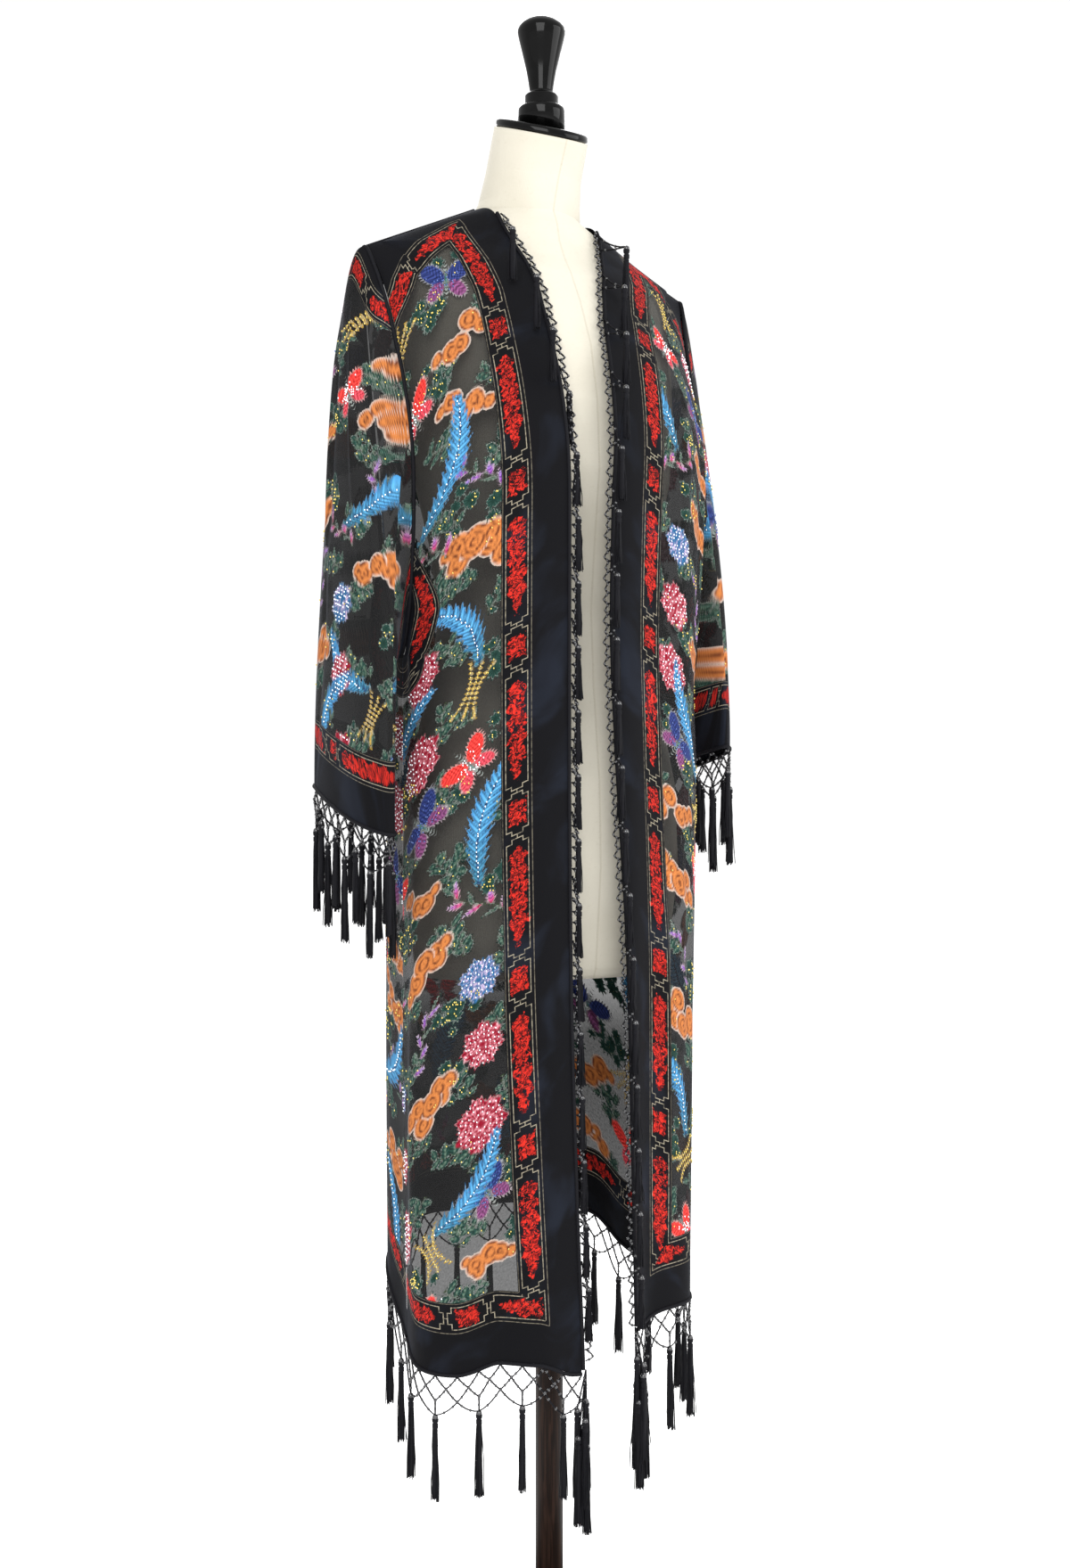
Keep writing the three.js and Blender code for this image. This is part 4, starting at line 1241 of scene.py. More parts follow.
class Finishes:
    """All materials of the scene."""

    def __init__(self) -> None:
        self.velvet = BurnoutVelvet().build()
        self.canvas = Canvas().build()
        self.lacquer = Lacquer().build()
        self.wood = StainedWood().build()
        self.metal = SatinMetal().build()
        self.thread = SilkThread().build()
        self.jet = GlassBead("jet_beads", (0.006, 0.006, 0.008, 1)).build()
        self.beads = {
            Bead.CLEAR: GlassBead("clear_beads", (0.72, 0.76, 0.8, 1)).build(),
            Bead.GOLD: GlassBead("gold_beads", (0.55, 0.42, 0.08, 1)).build(),
            Bead.NAVY: GlassBead("navy_beads", (0.04, 0.08, 0.26, 1)).build(),
        }


# Cloth pieces
@dataclass
class Panel:
    """A cloth panel: points on a grid with its flat and ornament coordinates."""

    name: str
    points: Array
    heart: Array
    closed: bool = False
    across: Array = field(default_factory=lambda: np.zeros(0))
    run: Array = field(default_factory=lambda: np.zeros(0))
    flat_s: Array = field(default_factory=lambda: np.zeros(0))
    flat_t: Array = field(default_factory=lambda: np.zeros(0))
    pattern: Pattern | None = None

    def measure_across(self) -> Array:
        """Length along each row from its first column."""
        steps = np.linalg.norm(np.diff(self.points, axis=1), axis=-1)
        return np.concatenate([np.zeros((len(steps), 1)), np.cumsum(steps, axis=1)], axis=1)

    def measure_down(self) -> Array:
        """Length down each column from its first row."""
        steps = np.linalg.norm(np.diff(self.points, axis=0), axis=-1)
        return np.concatenate([np.zeros((1, steps.shape[1])), np.cumsum(steps, axis=0)], axis=0)

    def edge_with(self, distances: list[tuple[Array, float, Array]]) -> None:
        """Sets the ornament's coordinates from the nearest of several edges.

        Args:
            distances: For each edge its distance, its margin and the length along it.
        """
        stack = np.stack([distance - margin for distance, margin, _ in distances])
        nearest = np.argmin(stack, axis=0)
        self.across = np.min(stack, axis=0)
        runs = np.stack([np.broadcast_to(run, self.across.shape) for _, _, run in distances])
        self.run = np.take_along_axis(runs, nearest[None], axis=0)[0]

    def normals(self) -> Array:
        """Outward direction at each point."""
        if self.closed:
            wrapped = np.concatenate([self.points[:, -1:], self.points, self.points[:, :1]], axis=1)
            over = np.gradient(wrapped, axis=1)[:, 1:-1]
        else:
            over = np.gradient(self.points, axis=1)
        way = np.cross(over, np.gradient(self.points, axis=0))
        return unit(way)

    def cover(self) -> Array:
        """How much the chiffon hides: more below the form and on the sleeves and back."""
        below = step_smooth((760 - self.points[..., 2]) / 120)
        least = 0.9 if self.closed else 0.7
        most = 0.94 if self.name.endswith("back_panel") else 0.9
        return mix(least, max(least, most), below)

    def faces_in(self) -> bool:
        """Whether the grid's own order turns its faces to the form."""
        middle = self.points.reshape(-1, 3).mean(axis=0) * np.array([0.0, 0.0, 1.0]) + self.heart
        return ((self.points - middle) * self.normals()).sum() < 0

    def outward(self) -> Array:
        """Direction away from the form at each point."""
        return -self.normals() if self.faces_in() else self.normals()

    def build(self, material: bpy.types.Material) -> bpy.types.Object:
        """Makes the cloth's shell with its stored coordinates."""
        rows, columns = self.points.shape[:2]
        faces = grid_faces(rows, columns, self.closed)
        if self.faces_in():
            faces = faces[:, ::-1]
        thing = new_object(self.name, self.points.reshape(-1, 3) * MM, faces, material)
        set_values(thing, "across", self.across)
        set_values(thing, "run", self.run)
        set_values(thing, "cover", self.cover())
        set_values(thing, "motif", self.pattern.distance)
        set_values(thing, "depth", self.pattern.depth)
        set_values(thing, "stripe", self.pattern.stripe)
        set_colours(thing, "tint", self.pattern.colour)
        set_uv(thing, self.flat_s, self.flat_t)
        return thing


@dataclass(frozen=True)
class Crease:
    """A soft crease down a panel: place, reach, lean, width and depth."""

    s: float
    top: float
    bottom: float
    lean: float
    width: float
    depth: float


FRONT_CREASES = [
    Crease(182, 120, 560, -0.02, 9, 4.5),
    Crease(150, 90, 420, 0.03, 7, -3.5),
    Crease(120, 180, 520, -0.03, 8, 3.0),
    Crease(96, 250, 640, 0.02, 10, -2.0),
    Crease(160, 520, 1180, 0.04, 12, 3.5),
    Crease(112, 640, 1180, -0.03, 11, -3.0),
    Crease(60, 760, 1200, 0.02, 10, 2.5),
]
BACK_CREASES = [
    Crease(-120, 120, 620, 0.05, 12, 4),
    Crease(-60, 160, 900, -0.02, 13, -3),
    Crease(10, 300, 1050, 0.03, 14, 3),
    Crease(75, 140, 700, -0.04, 12, 3.5),
    Crease(130, 200, 1000, 0.02, 11, -3),
]
SLEEVE_CREASES = [
    Crease(-60, 30, 420, 0.1, 10, 3.0),
    Crease(-15, 60, 520, -0.08, 9, -2.6),
    Crease(34, 20, 380, 0.06, 9, 2.8),
    Crease(80, 90, 560, -0.05, 10, -2.4),
]


def crease_depth(creases: list[Crease], s: Array, t: Array) -> Array:
    """Sum of soft ridges: depth x exp(-(offset/width)^2), faded at both ends."""
    total = np.zeros_like(s)
    for crease in creases:
        centre = crease.s + crease.lean * (t - crease.top) + 4 * np.sin(t / 90 + crease.s)
        fade = step_smooth((t - crease.top) / 90) * step_smooth((crease.bottom - t) / 140)
        total += crease.depth * fade * np.exp(-(((s - centre) / crease.width) ** 2))
    return total


def turned_under(drop: Array) -> Array:
    """How far the band is turned in at the armhole seam, at a drop below the shoulder."""
    return 50 * step_smooth((drop - 30) / 90) * step_smooth((390 - drop) / 90)


class Garment:
    """The kimono jacket's five cloth panels."""

    UPPER = 190
    LOWER = 320

    def __init__(self, finishes: Finishes) -> None:
        self.finishes = finishes
        self.panels: dict[str, Panel] = {}
        self.objects: dict[str, bpy.types.Object] = {}

    def front(self, side: Side, columns: int = 126) -> Panel:
        """One front, from its edge to the armhole and side seam."""
        full, lower = body_rows(self.UPPER, self.LOWER)
        curve = plan(side, Face.FRONT, full)
        level = 1 - step_smooth(full / ARMHOLE_DROP)
        hem = HEM.smooth(np.array(18.0), side.value)
        z = SHOULDER_TIP[2] - full + (NECK_POINT[2] - SHOULDER_TIP[2]) * level
        z = np.where(lower > 0, mix(UNDERARM_Z, hem, lower), z)
        edge = FRONT_EDGE.smooth(z, side.value)
        start = np.sign(edge) * np.arcsin((np.abs(edge) / curve.wide) ** (PLAN_POWER / 2))
        angle = mix(start, curve.end, np.linspace(0, 1, columns)[None, :])
        x = np.sign(angle) * curve.wide * np.sin(np.abs(angle)) ** (2 / PLAN_POWER)
        heart = np.array([0.0, SIDE_Y, 0.0])
        panel = Panel(f"front_{side.value}", body_points(side, Face.FRONT, x, full, lower), heart)
        s, t = panel.measure_across(), panel.measure_down()
        bulge = crease_depth(FRONT_CREASES, s, t) * step_smooth(s / 30) * step_smooth((s[:, -1:] - s) / 20)
        lift = np.maximum(bulge, np.where(full < 400, -0.4, -4.0))
        panel.points = panel.points + panel.outward() * lift[..., None]
        s, t = panel.measure_across(), panel.measure_down()
        below = np.maximum(0, full - ARMHOLE_DROP)
        arm = np.hypot(s[:, -1:] - s, below) + turned_under(full)
        to_hem = t[-1:] - t
        panel.edge_with(
            [
                (s, FRONT_MARGIN, t),
                (t - 0.3 * np.clip(s - 50, 0, 120), SHOULDER_MARGIN, s + 40),
                (arm, ARM_MARGIN, t + 20),
                (to_hem, HEM_MARGIN, s + 60),
            ]
        )
        panel.flat_s, panel.flat_t = s, t
        panel.pattern = Pattern.lay(half_drop((96, 240), (100, 1180), 3 if side is Side.RIGHT else 8), s, t)
        return panel

    def back(self, columns: int = 173) -> Panel:
        """The back, from one side to the other."""
        full, lower = body_rows(self.UPPER, self.LOWER)
        index = np.linspace(0, 12, columns // 2 + 1)[None, :]
        halves = []
        for side in (Side.RIGHT, Side.LEFT):
            curve = plan(side, Face.BACK, full)
            top = np.interp(index, np.arange(13), BACK_TOP) * curve.half / SHOULDER_TIP[0]
            low = curve.wide * np.sin(curve.end * index / 12) ** (2 / PLAN_POWER)
            x = mix(top, low, step_smooth(full / 220))
            halves.append(body_points(side, Face.BACK, x, full, lower))
        points = np.concatenate([halves[0][:, ::-1], halves[1][:, 1:]], axis=1)
        panel = Panel("back_panel", points, np.array([0.0, SIDE_Y, 0.0]))
        s, t = panel.measure_across(), panel.measure_down()
        middle = s[:, columns // 2][:, None]
        ends = step_smooth(s / 20) * step_smooth((s[:, -1:] - s) / 20)
        bulge = crease_depth(BACK_CREASES, s - middle, t) * ends
        lift = np.maximum(bulge, np.where(full < 400, -0.4, -4.0))
        panel.points = panel.points + panel.outward() * lift[..., None]
        below = np.maximum(0, full - ARMHOLE_DROP)
        arm = np.hypot(np.minimum(s, s[:, -1:] - s), below) + turned_under(full)
        panel.edge_with(
            [
                (t, SHOULDER_MARGIN, s + 10),
                (arm, ARM_MARGIN, t + 20),
                (t[-1:] - t, HEM_MARGIN, s + 30),
            ]
        )
        panel.flat_s, panel.flat_t = s - middle, t
        panel.pattern = Pattern.lay(half_drop((-235, 240), (90, 1140), 5), s - middle, t)
        return panel

    def sleeve(self, side: Side, columns: int = 180, rows: int = 220) -> Panel:
        """One sleeve, from the armhole to the cuff."""
        share = np.arange(columns)[None, :] / columns
        t = np.linspace(0, 1, rows)[:, None]
        share, t = np.broadcast_arrays(share, t)
        heart = np.array([side.sign * CUFFS[side].x, CUFFS[side].y, 0.0])
        panel = Panel(f"sleeve_{side.value}", sleeve_points(side, share, t), heart, closed=True)
        down = panel.measure_down()
        around = panel.measure_across()
        drop = ARMHOLE_DROP * (0.5 - 0.5 * np.cos(2 * math.pi * share))
        size = around[:, -1:] + np.linalg.norm(panel.points[:, :1] - panel.points[:, -1:], axis=-1)
        s = np.where(share < 0.5, share, share - 1) * size
        bulge = crease_depth(SLEEVE_CREASES, s, down)
        panel.points = panel.points + panel.outward() * bulge[..., None]
        panel.edge_with(
            [
                (down + turned_under(drop), ARM_MARGIN, around),
                (down[-1:] - down, HEM_MARGIN, around + 35),
            ]
        )
        panel.flat_s, panel.flat_t = s, down
        y = panel.points[..., 1]
        wide = np.ptp(y, axis=1, keepdims=True)
        over = y - (y.min(axis=1, keepdims=True) + wide / 2)
        reach = np.abs(panel.points[..., 0])
        over = over + np.tanh(over / 15) * (reach.max(axis=1, keepdims=True) - reach) * 0.9
        over = np.where(np.abs(share - 0.5) < 0.25, np.sign(share - 0.5) * wide - over, over)
        level = SHOULDER_TIP[2] - panel.points[..., 2]
        start = 6 if side is Side.RIGHT else 10
        panel.pattern = Pattern.lay(half_drop((-190, 195), (50, 600), start), over, level)
        return panel

    def seams(self) -> None:
        """Narrow corded seams round both armholes and along both shoulders."""
        maker = MeshMaker()
        for name in ("sleeve_right", "sleeve_left"):
            top = self.panels[name].points[0]
            loop = np.concatenate([top, top[:1]])[::4]
            maker.tubes(loop[None], 2.3, 6)
        for name in ("front_right", "front_left"):
            maker.tubes(self.panels[name].points[0][None, ::6], 1.7, 6)
        thing = maker.build("corded_seams", self.finishes.thread)

    def dress(self) -> None:
        """Builds every panel in its material."""
        self.panels = {
            "front_right": self.front(Side.RIGHT),
            "front_left": self.front(Side.LEFT),
            "back_panel": self.back(),
            "sleeve_right": self.sleeve(Side.RIGHT),
            "sleeve_left": self.sleeve(Side.LEFT),
        }
        for name, panel in self.panels.items():
            panel.name = f"cloth_{name}"
            thing = panel.build(self.finishes.velvet)
            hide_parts(name)
            self.objects[name] = thing
        self.seams()


# Trim
TASSEL_HEAD = np.array(
    [
        [0.6, 1], [1.2, 0], [2.8, -2], [3.6, -4], [3.2, -7],
        [2.2, -8], [3.2, -9], [3.2, -13], [2.5, -14], [3, -16],
    ]
)


class Trim:
    """Beaded net and tassels."""

    def __init__(self, seed: int) -> None:
        self.rng = np.random.default_rng(seed)
        self.thread = MeshMaker()
        self.jet = MeshMaker()

    def tassel(self, top: Array, length: float, threads: int = 24) -> None:
        """Adds a tassel: a wound head and a skirt of threads under a point."""
        self.thread.turned(top[None], TASSEL_HEAD, 8)
        skirt = [[3.4, -length * 0.6], [3.4, -length * 0.93], [0.6, -length * 0.95]]
        core = np.array([[2.6, -14], [3.1, -24], *skirt])
        self.thread.turned(top[None], core, 7)
        self.jet.beads(top[None] + np.array([0, 0, -2.5]), 3.6)
        angle = self.rng.uniform(0, 2 * math.pi, threads)
        reach = np.sqrt(self.rng.uniform(0.05, 1, threads))
        share = np.linspace(0, 1, 5)[None, :]
        radius = (2.6 + (4.3 - 2.6) * np.sin(share * 1.7)) * reach[:, None]
        sway = self.rng.normal(0, 0.5, (threads, 2))[:, None, :] * (share**2)[..., None] * 2
        wave = self.rng.normal(0, 0.35, (threads, 5, 2))
        tip = (length - 15) * self.rng.uniform(0.94, 1.0, threads)[:, None]
        x = radius * np.cos(angle)[:, None] + sway[..., 0] + wave[..., 0]
        y = radius * np.sin(angle)[:, None] + sway[..., 1] + wave[..., 1]
        z = -14 - tip * share
        self.thread.tubes(top + np.stack([x, y, z], axis=-1), 0.55, 3)

    def cord(self, points: Array, radius: float = 0.9) -> None:
        """Adds a thin cord through points."""
        self.thread.tubes(points[None], radius, 4)

    def sagging(self, start: Array, end: Array, sag: float) -> None:
        """Adds a cord that hangs between two points, with small beads on it."""
        t = np.linspace(0, 1, 6)[:, None]
        path = start + (end - start) * t - np.array([0, 0, 1.0]) * sag * 4 * t * (1 - t)
        self.cord(path)
        self.jet.beads(path[1:-1:2], 1.6)

    def loop(self, start: Array, end: Array, bow: Array) -> None:
        """Adds a beaded loop bowed away from the line between two points."""
        t = np.linspace(0, 1, 7)[:, None]
        path = start + (end - start) * t + bow * np.sin(math.pi * t)
        self.cord(path)
        self.jet.beads(path[1:-1:2], 1.6)

    def build(self, name: str, finishes: Finishes, node: str) -> list[bpy.types.Object]:
        """Makes the thread and bead objects that stand for a node."""
        thread = self.thread.build(f"{name}_thread", finishes.thread)
        jet = self.jet.build(f"{name}_beads", finishes.jet)
        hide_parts(node)
        return [thread, jet]


def edge_line(points: Array, before: Array, closed: bool, lift: Array | None = None) -> tuple[Array, Array]:
    """Line along a strip beside the cloth's edge, and its direction away from the cloth."""
    if closed:
        line = unit(np.roll(points, -1, axis=0) - np.roll(points, 1, axis=0))
    else:
        line = unit(np.gradient(points, axis=0))
    way = unit(points - before)
    if lift is not None:
        way = way + lift
    way = unit(way - line * (way * line).sum(axis=-1, keepdims=True))
    return points + way * (STRIP_GAP + STRIP_HEIGHT / 2 - 0.5), way


class Measured:
    """A line of points, read by length."""

    def __init__(self, points: Array, closed: bool) -> None:
        self.points = np.concatenate([points, points[:1]]) if closed else points
        steps = np.linalg.norm(np.diff(self.points, axis=0), axis=-1)
        self.marks = np.concatenate([[0.0], np.cumsum(steps)])
        self.closed = closed

    @property
    def total(self) -> float:
        """Full length."""
        return float(self.marks[-1])

    def at(self, length: float, depth: float = 0.0) -> Array:
        """Point at a length, lowered by a depth."""
        place = length % self.total if self.closed else min(max(length, 0.0), self.total)
        point = np.array([np.interp(place, self.marks, self.points[:, i]) for i in range(3)])
        return point - np.array([0, 0, depth])


class Fringe:
    """The trim on every edge of the jacket."""

    def __init__(self, garment: Garment, finishes: Finishes) -> None:
        self.garment = garment
        self.finishes = finishes
        self.made: dict[str, list[bpy.types.Object]] = {}

    def net(self, node: str, points: Array, before: Array, closed: bool, seed: int) -> None:
        """Net with two rows of knots, and a tassel under every second knot."""
        trim = Trim(seed)
        centre, way = edge_line(points, before, closed)
        braid = np.concatenate([centre, centre[:1]]) if closed else centre
        trim.thread.tubes(braid[:: 3 if closed else 2][None], 2.2, 6)
        line = Measured(centre + way * STRIP_HEIGHT / 2, closed)
        count = round(line.total / NET_PITCH)
        pitch = line.total / count
        half = pitch / 2
        last = 2 * count
        for i in range(last):
            high = line.at((i + 0.5) * half, KNOT_DEPTH)
            for side in (0, 1):
                trim.sagging(line.at((i + side) * half, -0.5), high, 0.8)
                trim.sagging(high, line.at((i + side) * half, ROW_DEPTH), 0.8)
            trim.jet.beads(high[None], 1.9)
        for i in range(last if closed else last + 1):
            trim.jet.beads(line.at(i * half, ROW_DEPTH)[None], 2.0)
            if i % 2:
                trim.sagging(line.at(i * half, ROW_DEPTH), line.at(i * half, NET_DEPTH), 0)
                continue
            for step in (-1, 1):
                if closed or 0 < i + step < last:
                    trim.sagging(line.at(i * half, ROW_DEPTH), line.at((i + step) * half, NET_DEPTH), 3.0)
        for i in range(count):
            trim.tassel(line.at((i + 0.5) * pitch, NET_DEPTH), TASSEL_LENGTH)
            if closed:
                trim.tassel(line.at(i * pitch, ROW_DEPTH), TASSEL_LENGTH - 12, 18)
        self.made[node] = trim.build(node.replace("fringe", "trim"), self.finishes, node)

    def cloth_face(self, panel: Panel, x: float, z: float) -> float:
        """Depth of a front panel's surface at x and z."""
        away = np.hypot(panel.points[..., 0] - x, panel.points[..., 2] - z)
        return float(panel.points[..., 1].ravel()[np.argmin(away)])

    def hang_over(self, panel: Panel, knot: Array) -> Array:
        """Moves a knot forward so that its tassel clears the cloth behind it."""
        depths = [self.cloth_face(panel, knot[0], knot[2] - drop) for drop in (0, 20, 40, EDGE_TASSEL_LENGTH)]
        return np.array([knot[0], min(knot[1], min(depths) - TASSEL_CLEARANCE), knot[2]])

    def edge(self, side: Side, seed: int) -> None:
        """Beaded loops and tassels down one front edge."""
        panel = self.garment.panels[f"front_{side.value}"]
        first = int(np.searchsorted(body_rows(Garment.UPPER, Garment.LOWER)[0][:, 0], 14))
        rows = panel.points[first:]
        z = rows[:, 0, 2]
        lift = np.zeros((len(rows), 3))
        lift[:, 2] = 2.2 * step_smooth((z - 1470) / 60)
        trim = Trim(seed)
        centre, way = edge_line(rows[:, 0], rows[:, 3], False, lift)
        trim.thread.tubes(centre[::4][None], 2.1, 6)
        line = Measured(centre + way * 3.0, False)
        inward = 1 if side is Side.RIGHT else -1
        for i, length in enumerate(np.arange(4.0, line.total - 14, 11.0)):
            bow = np.array([inward * (6.0 + 2 * (i % 2)), -1.5, -2.0])
            trim.loop(line.at(length), line.at(length + 12), bow)
        for length in np.arange(34.0, line.total - 30, EDGE_TASSEL_PITCH):
            root = line.at(length)
            over = side is Side.LEFT or root[2] > 1350
            lean = float(mix(3, 24, step_smooth((root[2] - 1350) / 90))) if side is Side.RIGHT else 3.0
            knot = root + np.array([inward * (-lean if over else 7), -9 if over else -1, -6])
            surface = form_face(np.array(knot[0]), np.array(knot[2] - 4), Face.FRONT)
            if over:
                knot = self.hang_over(panel, knot)
            elif not np.isnan(surface):
                knot[1] = min(knot[1], float(surface) - 8)
            trim.sagging(root, knot, 1.0)
            trim.sagging(line.at(length - 22), knot, 4.0)
            trim.tassel(knot, EDGE_TASSEL_LENGTH, 22)
        corner = line.at(line.total - 2)
        for i in range(6):
            turn = 2.4 * i
            away = np.array([inward * (5 * math.cos(turn) - 6), 5 * math.sin(turn) - 2, -30 - 9 * i])
            trim.sagging(corner, corner + away, 0.5)
            trim.tassel(corner + away, TASSEL_LENGTH + 4, 40)
        node = f"fringe_front_{side.value}"
        self.made[node] = trim.build(f"trim_front_{side.value}", self.finishes, node)

    def neck(self) -> None:
        """Strip round the back of the neck."""
        panel = self.garment.panels["back_panel"]
        top = panel.points[0]
        keep = np.abs(top[:, 0]) < NECK_POINT[0] - 5
        trim = Trim(77)
        lift = np.broadcast_to(np.array([0, 0, 2.0]), top[keep].shape)
        centre, _ = edge_line(top[keep], panel.points[2][keep], False, lift)
        trim.thread.tubes(centre[None], 1.7, 6)
        line = Measured(centre, False)
        trim.jet.beads(np.array([line.at(m) for m in np.arange(4.0, line.total, 8.0)]), 2.0)
        self.made["fringe_neck"] = trim.build("trim_neck", self.finishes, "fringe_neck")

    def dress(self) -> None:
        """Builds the trim on every edge."""
        for i, name in enumerate(("sleeve_right", "sleeve_left")):
            points = self.garment.panels[name].points
            node = name.replace("sleeve", "fringe_cuff")
            self.net(node, points[-1], points[-3], True, 5 + i)
        hems = {"front_right": "right", "front_left": "left", "back_panel": "back"}
        for i, (name, place) in enumerate(hems.items()):
            node = f"fringe_hem_{place}"
            points = self.garment.panels[name].points
            self.net(node, points[-1], points[-3], False, 15 + i)
        self.edge(Side.RIGHT, 31)
        self.edge(Side.LEFT, 32)
        self.neck()


class Beading:
    """Glass beads sewn on the velvet motifs."""

    def __init__(self, garment: Garment, finishes: Finishes) -> None:
        self.garment = garment
        self.finishes = finishes

    def dress(self) -> None:
        """Sews the beads of each colour on each panel."""
        for name, panel in self.garment.panels.items():
            points = panel.points.reshape(-1, 3)
            normals = panel.outward().reshape(-1, 3)
            for bead, places in panel.pattern.beads.items():
                if not places:
                    continue
                chosen = np.unique(np.concatenate(places))
                depth, across = panel.pattern.distance[chosen], panel.across.ravel()[chosen]
                chosen = chosen[(depth < 0) & (across > BAND_WIDTH + 2)]
                if not chosen.size:
                    continue
                maker = MeshMaker()
                maker.grains(points[chosen] + normals[chosen] * 0.7, 0.95)
                thing = maker.build(f"beads_{bead.value}_{name}", self.finishes.beads[bead])


# Dress form and stand
def turned_surface(name: str, profile: list[tuple[float, float]], y: float, material: bpy.types.Material,
                   tilt: float = 0.0, tilt_rings: int = 0, sides: int = 72) -> bpy.types.Object:
    """Closed turned solid with rounded edges, tilted in its first rings."""
    rings = np.array(profile, float)
    angle = np.arange(sides) / sides * 2 * math.pi
    radius, height = rings[:, 0, None], rings[:, 1, None]
    x = radius * np.cos(angle)
    yy = radius * np.sin(angle)
    lean = np.where(np.arange(len(rings))[:, None] < tilt_rings, tilt, 0.0)
    points = np.stack([x, y + yy, height + yy * lean], axis=-1)
    return new_object(name, points.reshape(-1, 3) * MM, grid_faces(len(rings), sides, True), material)


class DressForm:
    """Canvas torso, neck cap, finial and stand."""

    def __init__(self, finishes: Finishes) -> None:
        self.finishes = finishes

    def torso(self) -> None:
        """Torso as a fine loft through the form's sections, closed at both ends."""
        z = np.unique(np.concatenate([np.linspace(FORM.key[0], FORM.key[-1], 190), FORM.key]))[:, None]
        read = {name: FORM.straight(z, name) for name in ("half", "centre", "front", "back", "power", "tilt")}
        angle = np.arange(160) / 160 * 2 * math.pi
        c, s = np.cos(angle)[None, :], np.sin(angle)[None, :]
        x = np.sign(c) * read["half"] * np.abs(c) ** (2 / read["power"])
        depth = np.where(s < 0, read["centre"] - read["front"], read["back"] - read["centre"])
        y = read["centre"] + np.sign(s) * depth * np.abs(s) ** (2 / read["power"])
        zz = z + (y - (read["front"] + read["back"]) / 2) * read["tilt"]
        points = np.stack([x, y, zz], axis=-1)
        low = points[:1].mean(axis=1, keepdims=True)
        high = points[-1:].mean(axis=1, keepdims=True)
        caps = [low + (points[:1] - low) * 0.02, points, high + (points[-1:] - high) * 0.02]
        rings = np.concatenate(caps)
        thing = new_object("canvas_torso", rings.reshape(-1, 3) * MM, grid_faces(len(rings), 160, True),
                           self.finishes.canvas)
        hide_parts("torso")

    def turning(
        self, name: str, node: str, slot: str, profile: list[tuple[float, float]], **shape: object
    ) -> None:
        """One turned piece that stands for a node.

        Args:
            name: Name of the piece.
            node: Node that it replaces.
            slot: Its material slot; not used.
            profile: Radius and height of each ring, from below.
            **shape: Depth, material, tilt and sides of the turned surface.
        """
        thing = turned_surface(name, profile, **shape)
        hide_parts(node)

    def turnings(self) -> None:
        """Neck cap and finial in black lacquer, and the stand."""
        looks = self.finishes
        cap = 1648.6
        profile = [
            (0.5, cap), (48, cap), (50.2, cap + 0.6), (51, cap + 2.2), (51, cap + 6.5),
            (50.2, cap + 8.2), (48, cap + 9), (0.5, cap + 9),
        ]
        tipped = {"y": 16.5, "material": looks.lacquer, "tilt": 0.36}
        self.turning("lacquer_cap", "neck_cap", "gloss_black", profile, **tipped, tilt_rings=len(profile))
        top = cap + 9.4
        finial = [
            (0.5, top), (26, top), (26, 1674.4), (25.4, 1676.4), (24.4, 1677.6), (19.5, 1678), (19, 1679),
            (19, 1689.6), (18, 1691.4), (13.4, 1693.6), (13, 1696), (13.4, 1700), (14.6, 1708),
            (16.4, 1718), (19, 1729), (22, 1741), (24.8, 1752), (26.2, 1758), (26.5, 1761),
            (25.9, 1764.4), (24, 1767.4), (20.4, 1770.8), (15, 1774), (9, 1776.2), (0.5, 1777.3),
        ]
        self.turning("lacquer_finial", "finial", "gloss_black", finial, **tipped, tilt_rings=2)
        pole = [(0.5, 62.3), (14.2, 62.3), (15, 63.1), (15, 732.4), (14.2, 733.2), (0.5, 733.2)]
        self.turning("wood_pole", "pole", "stand_wood", pole, y=0.0, material=looks.wood)
        socket = [
            (0.5, 18.3), (29, 18.3), (30, 19.3), (30, 27), (29, 28.6),
            (23.6, 34.6), (22.2, 36.6), (21.2, 60.6), (20, 62), (0.5, 62),
        ]
        self.turning("iron_socket", "pole_socket", "stand_black", socket, y=0.0, material=looks.metal)
        base = [
            (0.5, 0), (157, 0), (159.4, 0.6), (160, 2), (160, 13),
            (158.8, 15.6), (155, 17.6), (150, 18), (0.5, 18),
        ]
        self.turning("iron_base", "base", "stand_black", base, y=0.0, material=looks.metal, sides=120)

    def dress(self) -> None:
        """Builds every piece of the form."""
        self.torso()
        self.turnings()


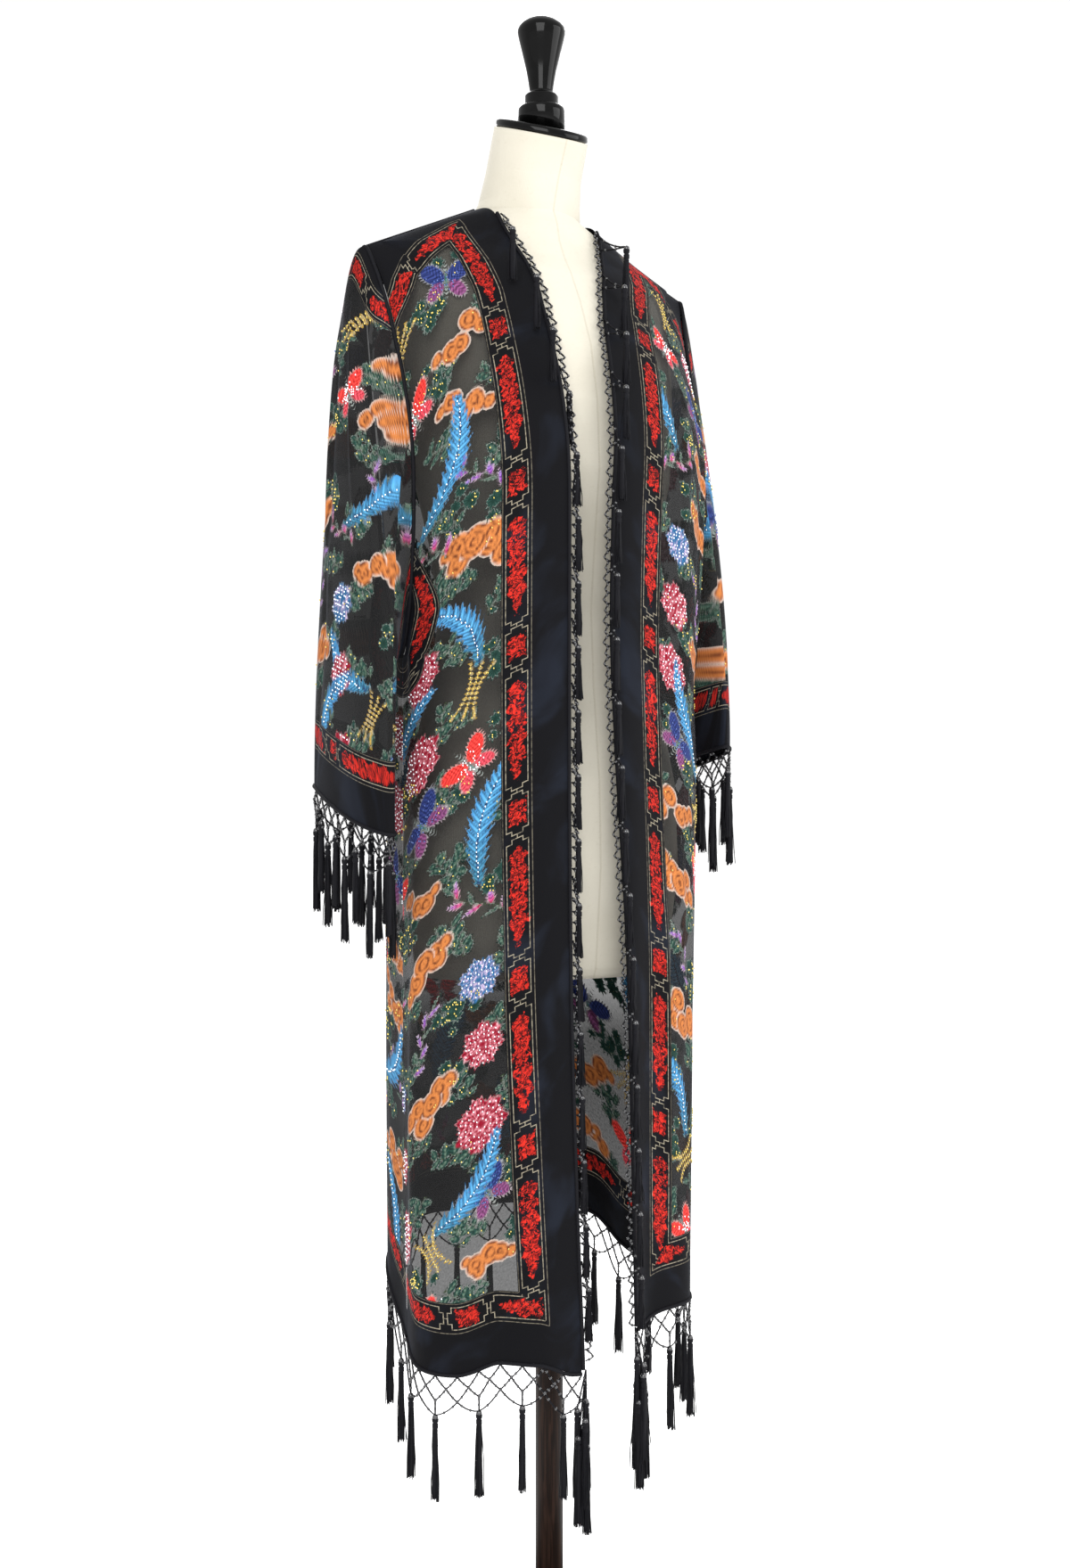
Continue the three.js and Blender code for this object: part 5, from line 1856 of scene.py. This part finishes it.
class Studio:
    """Floor, lights and camera."""

    def floor(self) -> None:
        """Plain pale floor."""
        s = Shader("pale_floor")
        grey = s.noise(s.place(), 2.0, 2.0)
        pale = s.blend(grey, (0.88, 0.88, 0.88, 1), (0.92, 0.92, 0.92, 1))
        s.finish(base_color=pale, roughness=0.9, emission_color=(1, 1, 1, 1), emission_strength=0.35)
        mesh = bpy.data.meshes.new("floor")
        corners = [(40 * x, 40 * y, -0.0005) for x, y in ((-1, -1), (1, -1), (1, 1), (-1, 1))]
        mesh.from_pydata(corners, [], [(0, 1, 2, 3)])
        mesh.materials.append(s.material)
        thing = bpy.data.objects.new("floor", mesh)
        bpy.context.scene.collection.objects.link(thing)

    def light(self, name: str, place: tuple[float, ...], size: float, power: float) -> None:
        """Soft square light aimed at the garment's middle."""
        lamp = bpy.data.lights.new(name, "AREA")
        lamp.size = size
        lamp.energy = power
        thing = bpy.data.objects.new(name, lamp)
        thing.location = place
        aim = np.array([0.0, 0.0, 0.95]) - np.array(place)
        turn = math.atan2(aim[1], aim[0]) - math.pi / 2
        tip = math.atan2(aim[2], math.hypot(aim[0], aim[1]))
        thing.rotation_euler = (math.pi / 2 + tip, 0, turn)
        bpy.context.scene.collection.objects.link(thing)

    def camera(self) -> None:
        """Camera at the photograph's angle, level, a little to the wearer's right."""
        d = np.array([math.sin(VIEW_TURN), math.cos(VIEW_TURN)])
        r = np.array([math.cos(VIEW_TURN), -math.sin(VIEW_TURN)])
        place = -CAMERA_DISTANCE * d - CAMERA_SIDE * r
        data = bpy.data.cameras.new("camera")
        data.sensor_fit = "AUTO"
        data.sensor_width = 36.0
        data.lens = FOCAL_PIXELS * 36.0 / PICTURE[1]
        data.shift_y = (HORIZON_PIXEL - PICTURE[1] / 2) / PICTURE[1]
        thing = bpy.data.objects.new("camera", data)
        thing.location = (place[0], place[1], CAMERA_HEIGHT)
        thing.rotation_euler = (math.pi / 2, 0, -VIEW_TURN)
        bpy.context.scene.collection.objects.link(thing)
        bpy.context.scene.camera = thing

    def build(self) -> None:
        """Sets the whole studio."""
        self.floor()
        self.light("key", (-1.9, -2.6, 2.5), 2.2, 95)
        self.light("fill", (2.2, -1.9, 1.8), 2.2, 50)
        self.light("rim", (0.8, 2.4, 2.6), 2.0, 55)
        self.camera()
        world = bpy.data.worlds.new("world")
        world.use_nodes = True
        world.node_tree.nodes["Background"].inputs[0].default_value = (1, 1, 1, 1)
        world.node_tree.nodes["Background"].inputs[1].default_value = 1.03
        bpy.context.scene.world = world
        bpy.context.scene.view_settings.view_transform = "Standard"


def main() -> None:
    """Builds the scene."""
    logging.basicConfig(level=logging.INFO, format="%(name)s: %(message)s")
    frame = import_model()
    finishes = Finishes()
    LOG.info("dressing %d nodes", len(frame["nodes"]))
    DressForm(finishes).dress()
    garment = Garment(finishes)
    garment.dress()
    fringe = Fringe(garment, finishes)
    fringe.dress()
    Beading(garment, finishes).dress()
    Studio().build()


if __name__ == "__main__":
    main()
